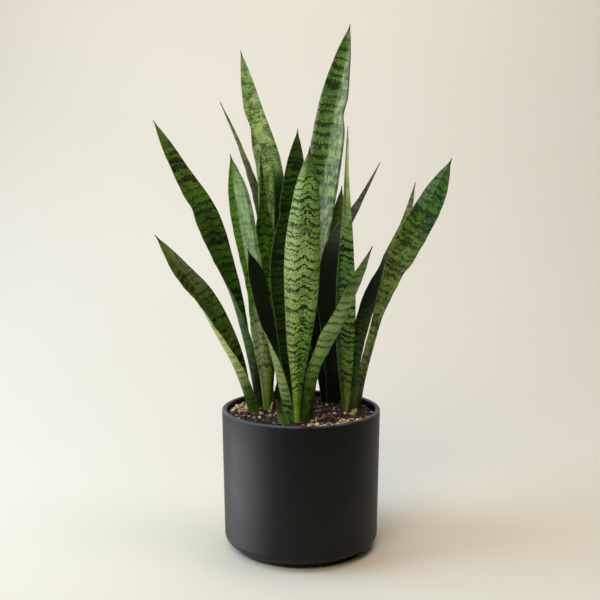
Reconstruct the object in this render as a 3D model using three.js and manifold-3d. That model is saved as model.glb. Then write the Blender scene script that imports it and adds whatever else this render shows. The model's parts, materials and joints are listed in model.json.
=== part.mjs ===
// A snake plant with broad, cross-banded leaves, in a plain cylinder pot.
// Millimetres, +Z up. The origin is the centre of the pot's foot, on the surface that it stands on,
// and the plant's front looks towards -Y. The pot is turned on a lathe, the soil and the gravel are
// slabs with pebbles raised by a formula, and every leaf is a folded blade lofted along its own line.
import * as THREE from "three";
import { mergeVertices } from "three/addons/utils/BufferGeometryUtils.js";
import Module from "manifold-3d";

const wasm = await Module();
wasm.setup();

// ---- Driving dimensions ----

// The pot: a thick-walled cylinder that widens a little to its rim, on a narrower foot.
const POT_HEIGHT = 177;
const RIM_RADIUS = 100;
const BASE_RADIUS = 97.5;
const FOOT_RADIUS = 84;
const FOOT_HEIGHT = 8;
const LOWER_EDGE_ROUND = 9;
const WALL = 6;
const LIP_ROUND = 2.2;
const FLOOR = 12;
const FLOOR_ROUND = 8;
const POT_SIDES = 60;

// The soil fills the pot, and two patches of pale gravel lie in shallow beds in it.
const GAP = 0.3;
const SOIL_LEVEL = 166;
const SOIL_PEBBLES = { pitch: 16, rise: 5, seed: 7 };
const GRAVEL_PEBBLES = { pitch: 13, rise: 5, seed: 21 };
const PEBBLE_SHOULDER = 0.7;
const PEBBLE_STRAY = 0.1;
const GRAVEL_BED = 9;
const GRAVEL_PATCHES = {
  gravel_front: { from: -83, to: -12, inner: 45 },
  gravel_left: { from: 129, to: 177, inner: 73 },
};

// What all the leaves share: the margin and the tip, how soon the middle thins, how long a dent in
// the margin is, and where along the leaf the margins' waves set in, reach their height and die out.
const EDGE_THICKNESS = 0.9;
const TIP_THICKNESS = 1.2;
const TIP_WIDTH = 1.6;
const THINNING = 0.6;
const DENT_LENGTH = 16;
const WAVES_SET_IN = [0.15, 0.45];
const WAVES_DIE_OUT = [0.75, 1];
const WAVE_OFFSET = 0.35;

// The facets of a leaf, the step that finds its direction, and the hole in the soil round its root.
const ROW_LENGTH = 20;
const FACETS_ACROSS = 4;
const NEARBY = 0.001;
const HOLE_GAP = 0.45;
const HOLE_TOP = 180;

// How far a blade is folded along its length, in degrees of arc: a gutter at the root, open above.
const TALL_CUP = [150, 112, 78, 56, 44, 38, 40];
const SHORT_CUP = [140, 110, 80, 60];

// The leaves, each with
//   spine  points from the end of the root to the tip, evenly spread along the leaf,
//   width  the blade's width laid flat at those places; the tip closes to TIP_WIDTH,
//   turn   where the inner face looks from root to tip, in degrees: 0 towards -Y, 90 towards +X,
//   cup    its own fold, where it isn't folded as a tall blade is,
//   wave   the height of the margins' waves, how many there are, and where they start; the left
//          margin's are WAVE_OFFSET of a wave out of step,
//   dent   a place where one margin is drawn in: how far along, on which side (1 or -1) and how deep,
//   rib    the thickness along the middle at the root,
//   green  its colour.
const LEAVES = {
  leaf_front: {
    spine: [
      [-5, -46, 143], [-5, -47, 203], [-3, -49, 262], [0, -52, 322],
      [2, -57, 381], [6, -63, 440], [10, -70, 499],
    ],
    width: [15, 17, 31, 42, 43, 31],
    turn: [180],
    cup: [170, 150, 84, 50, 40, 40, 40],
    wave: [0.8, 2.5, 0.1],
    rib: 5,
    green: "pale",
  },
  leaf_tallest: {
    spine: [
      [7, 66, 143], [4, 70, 232], [6, 75, 322], [19, 81, 410],
      [33, 89, 498], [47, 99, 586], [66, 110, 672],
    ],
    width: [20, 26, 36, 45, 46, 35],
    turn: [0, 0, 4],
    wave: [1.4, 2.5, 0.5],
    dent: [0.77, 1, 4.5],
    rib: 5.5,
    green: "silver",
  },
  leaf_tall_left: {
    spine: [
      [-24, 56, 143], [-30, 60, 226], [-36, 64, 309], [-39, 69, 392],
      [-41, 76, 475], [-61, 85, 555], [-80, 95, 635],
    ],
    width: [20, 26, 33, 37, 38, 24],
    turn: [20, 28, 15],
    wave: [1.6, 2.2, 0.3],
    dent: [0.74, -1, 4],
    rib: 5.5,
    green: "pale",
  },
  leaf_far_left: {
    spine: [
      [-51, 38, 143], [-61, 39, 214], [-77, 42, 284], [-99, 47, 351],
      [-124, 53, 418], [-159, 61, 479], [-193, 70, 542],
    ],
    width: [18, 20, 25, 36, 39, 24],
    turn: [85, 75, 40, 30],
    wave: [2, 2, 0.2],
    dent: [0.7, -1, 4.5],
    rib: 5,
    green: "dark",
  },
  leaf_low_left: {
    spine: [
      [-56, 10, 143], [-66, 9, 190], [-81, 5, 236], [-99, -3, 280],
      [-121, -13, 321], [-152, -25, 357], [-175, -40, 397],
    ],
    width: [22, 27, 29, 32, 32, 17],
    turn: [70, 60, 40, 30],
    wave: [1.6, 2, 0.7],
    dent: [0.56, -1, 3],
    rib: 5,
    green: "dark",
  },
  leaf_thin_left: {
    spine: [
      [-38, 66, 143], [-40, 72, 217], [-43, 80, 290], [-49, 87, 363],
      [-58, 96, 436], [-81, 107, 506], [-110, 120, 571],
    ],
    width: [18, 24, 30, 30, 26, 15],
    turn: [60, 68, 74],
    wave: [1, 2, 0],
    rib: 4.5,
    green: "olive",
  },
  leaf_silver_left: {
    spine: [
      [-45, 14, 143], [-44, 14, 202], [-50, 14, 261], [-55, 13, 320],
      [-66, 12, 379], [-77, 11, 437], [-88, 10, 495],
    ],
    width: [16, 20, 28, 32, 33, 29],
    turn: [60, 45, 35, 20],
    wave: [1, 2.5, 0.4],
    rib: 5,
    green: "silver",
  },
  leaf_slim_left: {
    spine: [
      [-36, 40, 143], [-38, 41, 202], [-42, 42, 262], [-46, 42, 321],
      [-48, 41, 380], [-49, 41, 439], [-52, 40, 499],
    ],
    width: [18, 22, 28, 32, 29, 12],
    turn: [20, 25, 30],
    wave: [1, 2, 0.6],
    rib: 5,
    green: "mid",
  },
  leaf_broad_middle: {
    spine: [
      [-12, 34, 143], [-13, 35, 208], [-17, 36, 272], [-21, 38, 336],
      [-17, 40, 401], [-9, 42, 465], [-4, 45, 529],
    ],
    width: [20, 26, 36, 44, 36, 29],
    turn: [10, 18, 15],
    wave: [1.2, 2.5, 0.9],
    dent: [0.7, -1, 3.5],
    rib: 5.5,
    green: "dark",
  },
  leaf_short_front: {
    spine: [
      [-13, -42, 143], [-17, -44, 184], [-25, -47, 224], [-35, -52, 264],
      [-46, -58, 303], [-53, -66, 344], [-62, -75, 382],
    ],
    width: [14, 17, 22, 26, 28, 24],
    turn: [95, 80, 55, 40],
    wave: [1, 2, 0.3],
    rib: 4.5,
    green: "dark",
  },
  leaf_low_right: {
    spine: [
      [5, -27, 143], [9, -29, 188], [18, -35, 231], [32, -45, 272],
      [51, -59, 310], [66, -75, 349], [81, -95, 386],
    ],
    width: [18, 23, 27, 30, 28, 20],
    turn: [-150, -140, -130],
    wave: [1.4, 2.5, 0.2],
    dent: [0.42, 1, 2.5],
    rib: 5,
    green: "olive",
  },
  leaf_pale_right: {
    spine: [
      [57, 4, 143], [57, 4, 207], [56, 3, 271], [56, 2, 335],
      [57, 0, 399], [56, -2, 463], [57, -5, 527],
    ],
    width: [16, 20, 26, 27, 19, 6],
    turn: [-10, -5, 0],
    wave: [1, 2.5, 0.8],
    rib: 5,
    green: "pale",
  },
  leaf_bent_right: {
    spine: [
      [42, 50, 143], [43, 51, 203], [43, 53, 262], [44, 54, 322],
      [52, 56, 381], [76, 58, 435], [103, 60, 487],
    ],
    width: [18, 24, 30, 32, 26, 10],
    turn: [-20, -20, -45, -75],
    wave: [1, 2, 0.4],
    rib: 5,
    green: "dark",
  },
  leaf_dark_right: {
    spine: [
      [54, 60, 143], [54, 66, 196], [52, 73, 248], [50, 78, 301],
      [50, 83, 353], [52, 88, 405], [55, 95, 458],
    ],
    width: [16, 20, 26, 28, 24, 16],
    turn: [-30],
    wave: [1, 2, 0.1],
    rib: 4.5,
    green: "dark",
  },
  leaf_far_right: {
    spine: [
      [66, 18, 143], [75, 16, 204], [89, 12, 263], [104, 7, 322],
      [131, 0, 377], [157, -9, 433], [182, -20, 488],
    ],
    width: [18, 22, 25, 28, 38, 33],
    turn: [-95, -80, -42, -35],
    wave: [1.6, 2, 0.6],
    dent: [0.5, 1, 2],
    rib: 5,
    green: "mid",
  },
  leaf_behind_right: {
    spine: [
      [69, 44, 143], [71, 46, 198], [77, 48, 253], [91, 49, 306],
      [113, 48, 356], [135, 46, 407], [147, 45, 461],
    ],
    width: [18, 22, 28, 32, 26, 14],
    turn: [-70, -55, -65],
    wave: [1.2, 2, 0.2],
    dent: [0.63, -1, 2],
    rib: 5,
    green: "dark",
  },
  leaf_back: {
    spine: [
      [28, 64, 143], [34, 61, 186], [37, 60, 229], [35, 60, 271],
      [28, 61, 313], [16, 62, 354], [7, 62, 396],
    ],
    width: [18, 24, 30, 34, 32, 23],
    turn: [20],
    wave: [1, 2, 0.8],
    rib: 5,
    green: "dark",
  },
  sprout_front: {
    spine: [[-18, -54, 146], [-21, -55, 163], [-24, -56, 181], [-29, -58, 200]],
    width: [14, 14, 11],
    turn: [120],
    cup: SHORT_CUP,
    rib: 2.5,
    green: "dark",
  },
  sprout_left: {
    spine: [[-32, 16, 146], [-30, 17, 168], [-27, 18, 190], [-24, 19, 213]],
    width: [13, 13, 10],
    turn: [30],
    cup: SHORT_CUP,
    rib: 2.5,
    green: "dark",
  },
  bract_left: {
    spine: [[-38, 2, 150], [-36, 1, 160], [-34, 0, 171], [-31, -1, 182]],
    width: [12, 11, 8],
    turn: [180],
    cup: SHORT_CUP,
    rib: 1.6,
    green: "straw",
  },
  bract_right: {
    spine: [[60, -9, 150], [63, -10, 159], [67, -11, 169], [72, -12, 180]],
    width: [15, 14, 10],
    turn: [180],
    cup: SHORT_CUP,
    rib: 1.6,
    green: "straw",
  },
};

const COLOURS = {
  pale: 0x8fa866,
  silver: 0x7d9a70,
  mid: 0x55752f,
  olive: 0x76854a,
  dark: 0x344f22,
  straw: 0xb0a058,
  pot: 0x2c2e30,
  soil: 0x33241c,
  gravel: 0xa58a68,
};

const LEAF_ROUGHNESS = 0.4;
const POT_ROUGHNESS = 0.55;
const EARTH_ROUGHNESS = 0.9;

// ---- Solids ----

// A closed geometry as a solid that can be cut and joined.
function solidOf(geometry) {
  const bare = new THREE.BufferGeometry();
  bare.setAttribute("position", geometry.getAttribute("position"));
  bare.setIndex(geometry.index);
  const merged = mergeVertices(bare, 1e-3);
  const mesh = new wasm.Mesh({
    numProp: 3,
    vertProperties: new Float32Array(merged.attributes.position.array),
    triVerts: new Uint32Array(merged.index.array),
  });
  return new wasm.Manifold(mesh);
}

// A solid back as a geometry.
function geometryOf(solid) {
  const mesh = solid.getMesh();
  return geometryFrom(Array.from(mesh.vertProperties), Array.from(mesh.triVerts));
}

function geometryFrom(positions, triangles) {
  const geometry = new THREE.BufferGeometry();
  geometry.setAttribute("position", new THREE.Float32BufferAttribute(positions, 3));
  geometry.setIndex(triangles);
  geometry.computeVertexNormals();
  return geometry;
}

// A named piece of the plant in its own material.
function piece(name, geometry, colour, roughness) {
  const material = new THREE.MeshStandardMaterial({
    color: COLOURS[colour],
    roughness,
    metalness: 0,
    flatShading: true,
  });
  const mesh = new THREE.Mesh(geometry, material);
  mesh.name = name;
  return mesh;
}

// ---- The pot ----

const outerRadius = (z) => THREE.MathUtils.lerp(BASE_RADIUS, RIM_RADIUS, z / POT_HEIGHT);

// Points of a round corner about (r, z), from one angle to another, in degrees.
function corner(r, z, round, from, to, steps) {
  const points = [];
  for (let i = 0; i <= steps; i += 1) {
    const angle = THREE.MathUtils.degToRad(from + ((to - from) * i) / steps);
    points.push(new THREE.Vector2(r + round * Math.cos(angle), z + round * Math.sin(angle)));
  }
  return points;
}

// The hollow's outline from the middle of the floor up to a height, set in from the pot by a gap.
function hollow(gap, top) {
  const inner = (z) => outerRadius(z) - WALL - gap;
  const floor = FLOOR + gap;
  return [
    new THREE.Vector2(0, floor),
    ...corner(inner(floor + FLOOR_ROUND) - FLOOR_ROUND, floor + FLOOR_ROUND, FLOOR_ROUND, -90, 0, 3),
    new THREE.Vector2(inner(top), top),
  ];
}

// An outline of (radius, height) points turned about the upright axis.
function turned(outline) {
  return new THREE.LatheGeometry(outline, POT_SIDES).rotateX(Math.PI / 2);
}

function potGeometry() {
  const lipBase = POT_HEIGHT - LIP_ROUND;
  const lower = FOOT_HEIGHT + LOWER_EDGE_ROUND;
  const outline = [
    new THREE.Vector2(0, 0),
    new THREE.Vector2(FOOT_RADIUS, 0),
    new THREE.Vector2(FOOT_RADIUS, FOOT_HEIGHT),
    ...corner(outerRadius(lower) - LOWER_EDGE_ROUND, lower, LOWER_EDGE_ROUND, -90, 0, 4),
    ...corner(outerRadius(lipBase) - LIP_ROUND, lipBase, LIP_ROUND, 0, 90, 2),
    ...corner(outerRadius(lipBase) - WALL + LIP_ROUND, lipBase, LIP_ROUND, 90, 180, 2),
    ...hollow(0, lipBase).slice(0, -1).reverse(),
  ];
  return turned(outline);
}

// ---- The soil and the gravel ----

// A slab down to z = 0 whose top is covered by pebbles: each is a low six-sided dome on one cell of
// a honeycomb, a little out of its place, and neighbours share the valleys between them.
function pebbledSlab({ pitch, rise, seed }) {
  const random = mulberry(seed);
  const reach = RIM_RADIUS + pitch;
  const rowPitch = pitch * Math.sin(Math.PI / 3);
  const cornerDistance = pitch / Math.sqrt(3);
  const rows = Math.ceil(reach / rowPitch);
  const positions = [];
  const triangles = [];
  const edges = new Map();
  const valleys = new Map();

  const addPoint = (x, y, z) => positions.push(x, y, z) / 3 - 1;
  const addTriangle = (a, b, c) => {
    triangles.push(a, b, c);
    for (const [from, to] of [[a, b], [b, c], [c, a]]) {
      edges.set(`${from} ${to}`, [from, to]);
    }
  };
  const stray = () => 2 * PEBBLE_STRAY * pitch * (random() - 0.5);
  const valleyAt = (x, y) => {
    const key = `${Math.round(x * 10)} ${Math.round(y * 10)}`;
    if (!valleys.has(key)) valleys.set(key, addPoint(x + stray(), y + stray(), SOIL_LEVEL - random()));
    return valleys.get(key);
  };

  for (let row = -rows; row <= rows; row += 1) {
    for (let column = -rows; column <= rows; column += 1) {
      const x = pitch * (column + 0.5 * Math.abs(row % 2));
      const y = rowPitch * row;
      if (Math.hypot(x, y) > reach) continue;
      const middle = [x + stray(), y + stray()];
      const height = rise * THREE.MathUtils.lerp(0.6, 1, random());
      const shoulder = PEBBLE_SHOULDER * cornerDistance;
      const peak = addPoint(...middle, SOIL_LEVEL + height);
      const ring = [];
      const rim = [];
      for (let k = 0; k < 6; k += 1) {
        const angle = ((k + 0.5) * Math.PI) / 3;
        const aim = [Math.cos(angle), Math.sin(angle)];
        const [shoulderX, shoulderY] = middle.map((value, axis) => value + shoulder * aim[axis]);
        ring.push(addPoint(shoulderX, shoulderY, SOIL_LEVEL + PEBBLE_SHOULDER * height));
        rim.push(valleyAt(x + cornerDistance * aim[0], y + cornerDistance * aim[1]));
      }
      for (let k = 0; k < 6; k += 1) {
        const next = (k + 1) % 6;
        addTriangle(peak, ring[k], ring[next]);
        addTriangle(ring[k], rim[k], rim[next]);
        addTriangle(ring[k], rim[next], ring[next]);
      }
    }
  }

  const below = positions.length / 3;
  for (let i = 0; i < below; i += 1) addPoint(positions[3 * i], positions[3 * i + 1], 0);
  const top = triangles.slice();
  for (let i = 0; i < top.length; i += 3) {
    triangles.push(top[i + 2] + below, top[i + 1] + below, top[i] + below);
  }
  for (const [from, to] of edges.values()) {
    if (edges.has(`${to} ${from}`)) continue;
    triangles.push(from, from + below, to + below, from, to + below, to);
  }
  return solidOf(geometryFrom(positions, triangles));
}

// Seeded random numbers from 0 to 1.
function mulberry(seed) {
  let state = seed;
  return () => {
    state = (state + 0x6d2b79f5) | 0;
    let mixed = Math.imul(state ^ (state >>> 15), 1 | state);
    mixed = (mixed + Math.imul(mixed ^ (mixed >>> 7), 61 | mixed)) ^ mixed;
    return ((mixed ^ (mixed >>> 14)) >>> 0) / 4294967296;
  };
}

// The upright block over one patch of gravel, grown by a gap on its sides and below.
function patchBlock({ from, to, inner }, gap) {
  const slack = gap / inner;
  const start = THREE.MathUtils.degToRad(from) - slack;
  const end = THREE.MathUtils.degToRad(to) + slack;
  const shape = new THREE.Shape();
  shape.absarc(0, 0, RIM_RADIUS, start, end, false);
  shape.absarc(0, 0, inner - gap, end, start, true);
  const block = new THREE.ExtrudeGeometry(shape, {
    depth: POT_HEIGHT,
    bevelEnabled: false,
    curveSegments: 14,
  });
  block.translate(0, 0, SOIL_LEVEL - GRAVEL_BED - gap);
  block.deleteAttribute("normal");
  block.deleteAttribute("uv");
  return solidOf(mergeVertices(block, 1e-3));
}

// ---- The leaves ----

// A smooth curve through evenly spread values, at s from 0 to 1.
function smooth(values, s) {
  if (values.length === 1) return values[0];
  const spans = values.length - 1;
  const span = Math.min(Math.max(Math.floor(s * spans), 0), spans - 1);
  const t = s * spans - span;
  const b = values[span];
  const c = values[span + 1];
  const a = span > 0 ? values[span - 1] : 2 * b - c;
  const d = span < spans - 1 ? values[span + 2] : 2 * c - b;
  const bend = 2 * a - 5 * b + 4 * c - d;
  const twist = 3 * (b - c) + d - a;
  return b + 0.5 * t * (c - a + t * (bend + t * twist));
}

const spineAt = ({ spine }, s) =>
  new THREE.Vector3(...[0, 1, 2].map((axis) => smooth(spine.map((point) => point[axis]), s)));

// One cross-section of a blade: the inner face from margin to margin, then the outer face back.
function bladeRing(leaf, s, grow) {
  const place = spineAt(leaf, s);
  const along = spineAt(leaf, s + NEARBY).sub(spineAt(leaf, s - NEARBY)).normalize();
  const turn = THREE.MathUtils.degToRad(smooth(leaf.turn, s));
  const side = along.clone().cross(new THREE.Vector3(Math.sin(turn), -Math.cos(turn), 0)).normalize();
  const inward = side.clone().cross(along);
  const arc = THREE.MathUtils.degToRad(smooth(leaf.cup ?? TALL_CUP, s));
  const width = smooth([...leaf.width, TIP_WIDTH], s);
  const radius = width / arc;
  const sagitta = radius * (1 - Math.cos(arc / 2));
  const rib = THREE.MathUtils.lerp(leaf.rib, TIP_THICKNESS, Math.max(s, 0) ** THINNING);
  const [waveHeight, waves, start] = leaf.wave ?? [0, 0, 0];
  const setIn = THREE.MathUtils.smoothstep(s, ...WAVES_SET_IN);
  const dyingOut = THREE.MathUtils.smoothstep(s, ...WAVES_DIE_OUT);
  const [dentPlace, dentSide, dentDepth] = leaf.dent ?? [0, 0, 0];
  const fromDent = (s - dentPlace) * spineLength(leaf);
  const dented = dentDepth * Math.exp(-((fromDent / DENT_LENGTH) ** 2));

  const pointAt = (across, face) => {
    const drawnIn = across * dentSide > 0 ? dented : 0;
    const reach = across * (1 + (2 * (grow - drawnIn)) / width);
    const angle = (reach * arc) / 2;
    const phase = waves * s + start + (across < 0 ? WAVE_OFFSET : 0);
    const crest = waveHeight * setIn * (1 - dyingOut);
    const lift = crest * across ** 2 * Math.sin(2 * Math.PI * phase);
    const thickness = THREE.MathUtils.lerp(rib, EDGE_THICKNESS, across ** 2);
    const out = radius - face * (thickness / 2 + grow) - lift;
    return place
      .clone()
      .addScaledVector(side, out * Math.sin(angle))
      .addScaledVector(inward, radius - sagitta / 2 - out * Math.cos(angle));
  };

  const ring = [];
  for (let k = 0; k <= FACETS_ACROSS; k += 1) ring.push(pointAt((2 * k) / FACETS_ACROSS - 1, 1));
  for (let k = FACETS_ACROSS; k >= 0; k -= 1) ring.push(pointAt((2 * k) / FACETS_ACROSS - 1, -1));
  return ring;
}

// A blade through the rings at the given places, each quad split the same way on both faces.
function bladeGeometry(leaf, places, grow = 0) {
  const around = 2 * (FACETS_ACROSS + 1);
  const positions = [];
  const triangles = [];
  for (const s of places) {
    for (const point of bladeRing(leaf, s, grow)) positions.push(point.x, point.y, point.z);
  }
  for (let row = 0; row < places.length - 1; row += 1) {
    for (let i = 0; i < around; i += 1) {
      const a = row * around + i;
      const b = row * around + ((i + 1) % around);
      const c = b + around;
      const d = a + around;
      if (i < FACETS_ACROSS) triangles.push(a, b, c, a, c, d);
      else triangles.push(a, b, d, b, c, d);
    }
  }
  const last = (places.length - 1) * around;
  for (let k = 0; k < FACETS_ACROSS; k += 1) {
    const opposite = around - 1 - k;
    triangles.push(k, opposite, opposite - 1, k, opposite - 1, k + 1);
    triangles.push(last + k, last + k + 1, last + opposite - 1);
    triangles.push(last + k, last + opposite - 1, last + opposite);
  }
  return geometryFrom(positions, triangles);
}

function spineLength({ spine }) {
  const points = spine.map((point) => new THREE.Vector3(...point));
  return points.slice(1).reduce((sum, point, i) => sum + point.distanceTo(points[i]), 0);
}

// The places of a blade's rows, from 0 at the root to 1 at the tip.
function rowPlaces(leaf) {
  const rows = Math.max(6, Math.round(spineLength(leaf) / ROW_LENGTH));
  return Array.from({ length: rows + 1 }, (_, i) => i / rows);
}

// The hole in the soil round a leaf's root: the same blade, grown, from just below the root's end.
function rootHole(leaf) {
  const length = spineLength(leaf);
  const top = (HOLE_TOP - leaf.spine[0][2]) / length;
  const buried = rowPlaces(leaf).filter((s) => s > 0 && s < top);
  return solidOf(bladeGeometry(leaf, [-HOLE_GAP / length, ...buried, top], HOLE_GAP));
}

// The largest of a solid's bodies, without the loose scraps that a cut leaves.
function largestBody(solid) {
  return solid.decompose().reduce((best, body) => (body.volume() > best.volume() ? body : best));
}

// ---- The plant ----

const plant = new THREE.Group();
plant.name = "snake_plant";
plant.add(piece("pot", potGeometry(), "pot", POT_ROUGHNESS));

const filling = solidOf(turned([...hollow(GAP, POT_HEIGHT), new THREE.Vector2(0, POT_HEIGHT)]));
let soil = pebbledSlab(SOIL_PEBBLES).intersect(filling);
const gravel = pebbledSlab(GRAVEL_PEBBLES).intersect(filling);
for (const [name, patch] of Object.entries(GRAVEL_PATCHES)) {
  soil = soil.subtract(patchBlock(patch, GAP));
  const bed = largestBody(gravel.intersect(patchBlock(patch, 0)));
  plant.add(piece(name, geometryOf(bed), "gravel", EARTH_ROUGHNESS));
}
for (const leaf of Object.values(LEAVES)) soil = soil.subtract(rootHole(leaf));
plant.add(piece("soil", geometryOf(largestBody(soil)), "soil", EARTH_ROUGHNESS));

for (const [name, leaf] of Object.entries(LEAVES)) {
  plant.add(piece(name, bladeGeometry(leaf, rowPlaces(leaf)), leaf.green, LEAF_ROUGHNESS));
}

export default plant;
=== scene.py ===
# %% [markdown]
# # A snake plant in a cylinder pot
# This file is a lesson in cells. It takes a plain, measured model of a potted snake plant, loads it as
# a fixed frame, and dresses it piece by piece: the pot, the soil and pebbles, and then every leaf, with
# finishes that are worked out by nodes, without any picture. Run it from top to bottom.

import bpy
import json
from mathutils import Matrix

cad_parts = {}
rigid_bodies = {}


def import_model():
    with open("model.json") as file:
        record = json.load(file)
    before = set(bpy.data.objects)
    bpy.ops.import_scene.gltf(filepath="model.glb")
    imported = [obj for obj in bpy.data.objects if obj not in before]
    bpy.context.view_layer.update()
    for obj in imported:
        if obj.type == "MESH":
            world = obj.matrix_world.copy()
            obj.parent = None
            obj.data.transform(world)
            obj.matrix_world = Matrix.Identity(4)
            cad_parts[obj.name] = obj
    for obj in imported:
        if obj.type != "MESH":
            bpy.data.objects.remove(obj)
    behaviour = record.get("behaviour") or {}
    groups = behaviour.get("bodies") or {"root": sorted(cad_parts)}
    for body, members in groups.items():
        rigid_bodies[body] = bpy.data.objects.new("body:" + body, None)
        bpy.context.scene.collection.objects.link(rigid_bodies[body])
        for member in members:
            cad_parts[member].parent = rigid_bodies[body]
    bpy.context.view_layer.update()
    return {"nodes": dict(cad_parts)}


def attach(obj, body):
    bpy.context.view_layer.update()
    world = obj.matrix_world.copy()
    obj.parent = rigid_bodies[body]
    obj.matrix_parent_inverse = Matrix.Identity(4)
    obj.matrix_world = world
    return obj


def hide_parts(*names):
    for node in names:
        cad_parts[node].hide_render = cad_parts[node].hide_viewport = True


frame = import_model()
print("nodes:", len(frame["nodes"]))

# %% [markdown]
# ## Units and a few tools
# Blender works in metres and this plant is measured in millimetres, so sizes are written in
# millimetres and MM turns them into metres. `numpy` moves thousands of points at once, which is how the
# leaves are bent, and a seeded random generator scatters the pebbles alike in each run.

# %% Tools
import json
import math

import bmesh
import bpy
import numpy as np
from mathutils import Vector

MM = 0.001
scene = bpy.context.scene


def select_only(piece):
    """Operators act on all that is selected, so everything else is deselected first."""
    bpy.ops.object.select_all(action="DESELECT")
    piece.select_set(True)
    bpy.context.view_layer.objects.active = piece


def apply_modifier(piece, kind, **settings):
    """Adds a modifier, sets it and applies it, so that the mesh itself gets the shape."""
    select_only(piece)
    modifier = piece.modifiers.new(kind.lower(), kind)
    for key, value in settings.items():
        setattr(modifier, key, value)
    bpy.ops.object.modifier_apply(modifier=modifier.name)


def place_in_mesh(piece, name):
    """Names a piece and moves its place into its mesh, so that the object sits at the origin."""
    select_only(piece)
    bpy.ops.object.transform_apply(location=True, rotation=True, scale=True)
    piece.name = name
    piece.data.name = name


def hand_over(piece, slot, *nodes):
    """The piece stands on the part's one body and stands for CAD nodes; the slot is not used."""
    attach(piece, "root")
    if nodes:
        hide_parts(*nodes)


print("tools ready")

# %% [markdown]
# ## The camera
# The camera comes first, because the shapes are judged through it. It stands a metre in front of the
# plant, a little above its middle, and looks slightly down. A 51 mm lens is close to how the eye sees
# such a plant. Depth of field stays off, so that every leaf is sharp.

# %% Camera
LENS = 51.0
LOOK_DOWN = 6.5
CAMERA_PLACE = (-1.3, -1058, 434)
camera_data = bpy.data.cameras.new("camera")
camera_data.lens = LENS
camera = bpy.data.objects.new("camera", camera_data)
camera.location = Vector(CAMERA_PLACE) * MM
camera.rotation_euler = (math.radians(90 - LOOK_DOWN), 0, 0)
scene.collection.objects.link(camera)
scene.camera = camera
scene.view_settings.view_transform = "Standard"
print("camera at", [round(v, 3) for v in camera.location])

# %% [markdown]
# ## Finishes as sums
# A procedural finish is a chain of nodes: coordinates go in, and colour, roughness and bump come out.
# Hundreds of links are hard to read, so two small classes let the chains be written as sums. A `Wire`
# is one number that changes over the surface. Adding or multiplying wires adds a Math node and links
# it. A `Finish` holds the material and makes the wires: coordinates, noise, colour mixes.

# %% Wires and finishes
class Wire:
    """A number on its way through the nodes."""

    def __init__(self, finish, socket):
        self.finish = finish
        self.socket = socket

    def to(self, operation, *others, clamp=False):
        node = self.finish.add("Math", operation=operation, use_clamp=clamp)
        for socket, value in zip(node.inputs, (self, *others)):
            self.finish.feed(socket, value)
        return Wire(self.finish, node.outputs[0])

    def __add__(self, other):
        return self.to("ADD", other)

    def __sub__(self, other):
        return self.to("SUBTRACT", other)

    def __mul__(self, other):
        return self.to("MULTIPLY", other)

    __radd__ = __add__
    __rmul__ = __mul__

    def __rsub__(self, other):
        return (self * -1.0).to("ADD", other)

    def __abs__(self):
        return self.to("ABSOLUTE")

    def sine(self):
        return self.to("SINE")

    def clamped(self):
        return self.to("ADD", 0.0, clamp=True)

    def rise(self, low, high):
        """0 below low, 1 above high and a smooth step between them; low may be the larger."""
        node = self.finish.add("MapRange", interpolation_type="SMOOTHSTEP")
        for socket, value in zip(node.inputs[:5], (self, low, high, 0.0, 1.0)):
            self.finish.feed(socket, value)
        return Wire(self.finish, node.outputs[0])


class Finish:
    """A material whose nodes are added as they are needed."""

    def __init__(self, name):
        self.material = bpy.data.materials.new(name)
        self.material.use_nodes = True
        self.tree = self.material.node_tree
        self.shader = self.tree.nodes["Principled BSDF"]

    def add(self, kind, **settings):
        node = self.tree.nodes.new("ShaderNode" + kind)
        for key, value in settings.items():
            setattr(node, key, value)
        return node

    def feed(self, socket, value):
        if isinstance(value, Wire):
            value = value.socket
        if isinstance(value, bpy.types.NodeSocket):
            self.tree.links.new(value, socket)
        elif socket.type == "RGBA":
            socket.default_value = (*value, 1.0)
        else:
            socket.default_value = value

    def attribute(self, name):
        """The three numbers that a piece's points hold under this name."""
        node = self.add("Attribute", attribute_name=name)
        parts = self.add("SeparateXYZ")
        self.feed(parts.inputs[0], node.outputs["Vector"])
        return [Wire(self, socket) for socket in parts.outputs]

    def position(self):
        node = self.add("TexCoord")
        parts = self.add("SeparateXYZ")
        self.feed(parts.inputs[0], node.outputs["Object"])
        return [Wire(self, socket) for socket in parts.outputs]

    def vector(self, x, y, z=0.0):
        node = self.add("CombineXYZ")
        for socket, value in zip(node.inputs, (x, y, z)):
            self.feed(socket, value)
        return node.outputs[0]

    def noise(self, x, y, z=0.0, detail=2.0, roughness=0.5):
        """Cloudy noise from 0 to 1, about 0.5, with one lump to a unit."""
        node = self.add("TexNoise")
        self.feed(node.inputs["Vector"], self.vector(x, y, z))
        node.inputs["Scale"].default_value = 1.0
        node.inputs["Detail"].default_value = detail
        node.inputs["Roughness"].default_value = roughness
        return Wire(self, node.outputs[0])

    def mix(self, share, below, above):
        """Two colours mixed: below where share is 0, above where it is 1."""
        node = self.add("Mix", data_type="RGBA")
        for socket, value in zip((node.inputs[0], node.inputs[6], node.inputs[7]), (share, below, above)):
            self.feed(socket, value)
        return node.outputs[2]

    def finish(self, colour, roughness, bump=None, strength=0.3, distance=MM):
        self.feed(self.shader.inputs["Base Color"], colour)
        self.feed(self.shader.inputs["Roughness"], roughness)
        if bump is not None:
            node = self.add("Bump")
            node.inputs["Strength"].default_value = strength
            node.inputs["Distance"].default_value = distance
            self.feed(node.inputs["Height"], bump)
            self.feed(self.shader.inputs["Normal"], node.outputs[0])
        return self.material


def tone(red, green, blue):
    """A colour in the usual 0 to 255 numbers, as the linear numbers that shaders use."""
    parts = [value / 255 for value in (red, green, blue)]
    return tuple(v / 12.92 if v <= 0.04045 else ((v + 0.055) / 1.055) ** 2.4 for v in parts)


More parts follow.
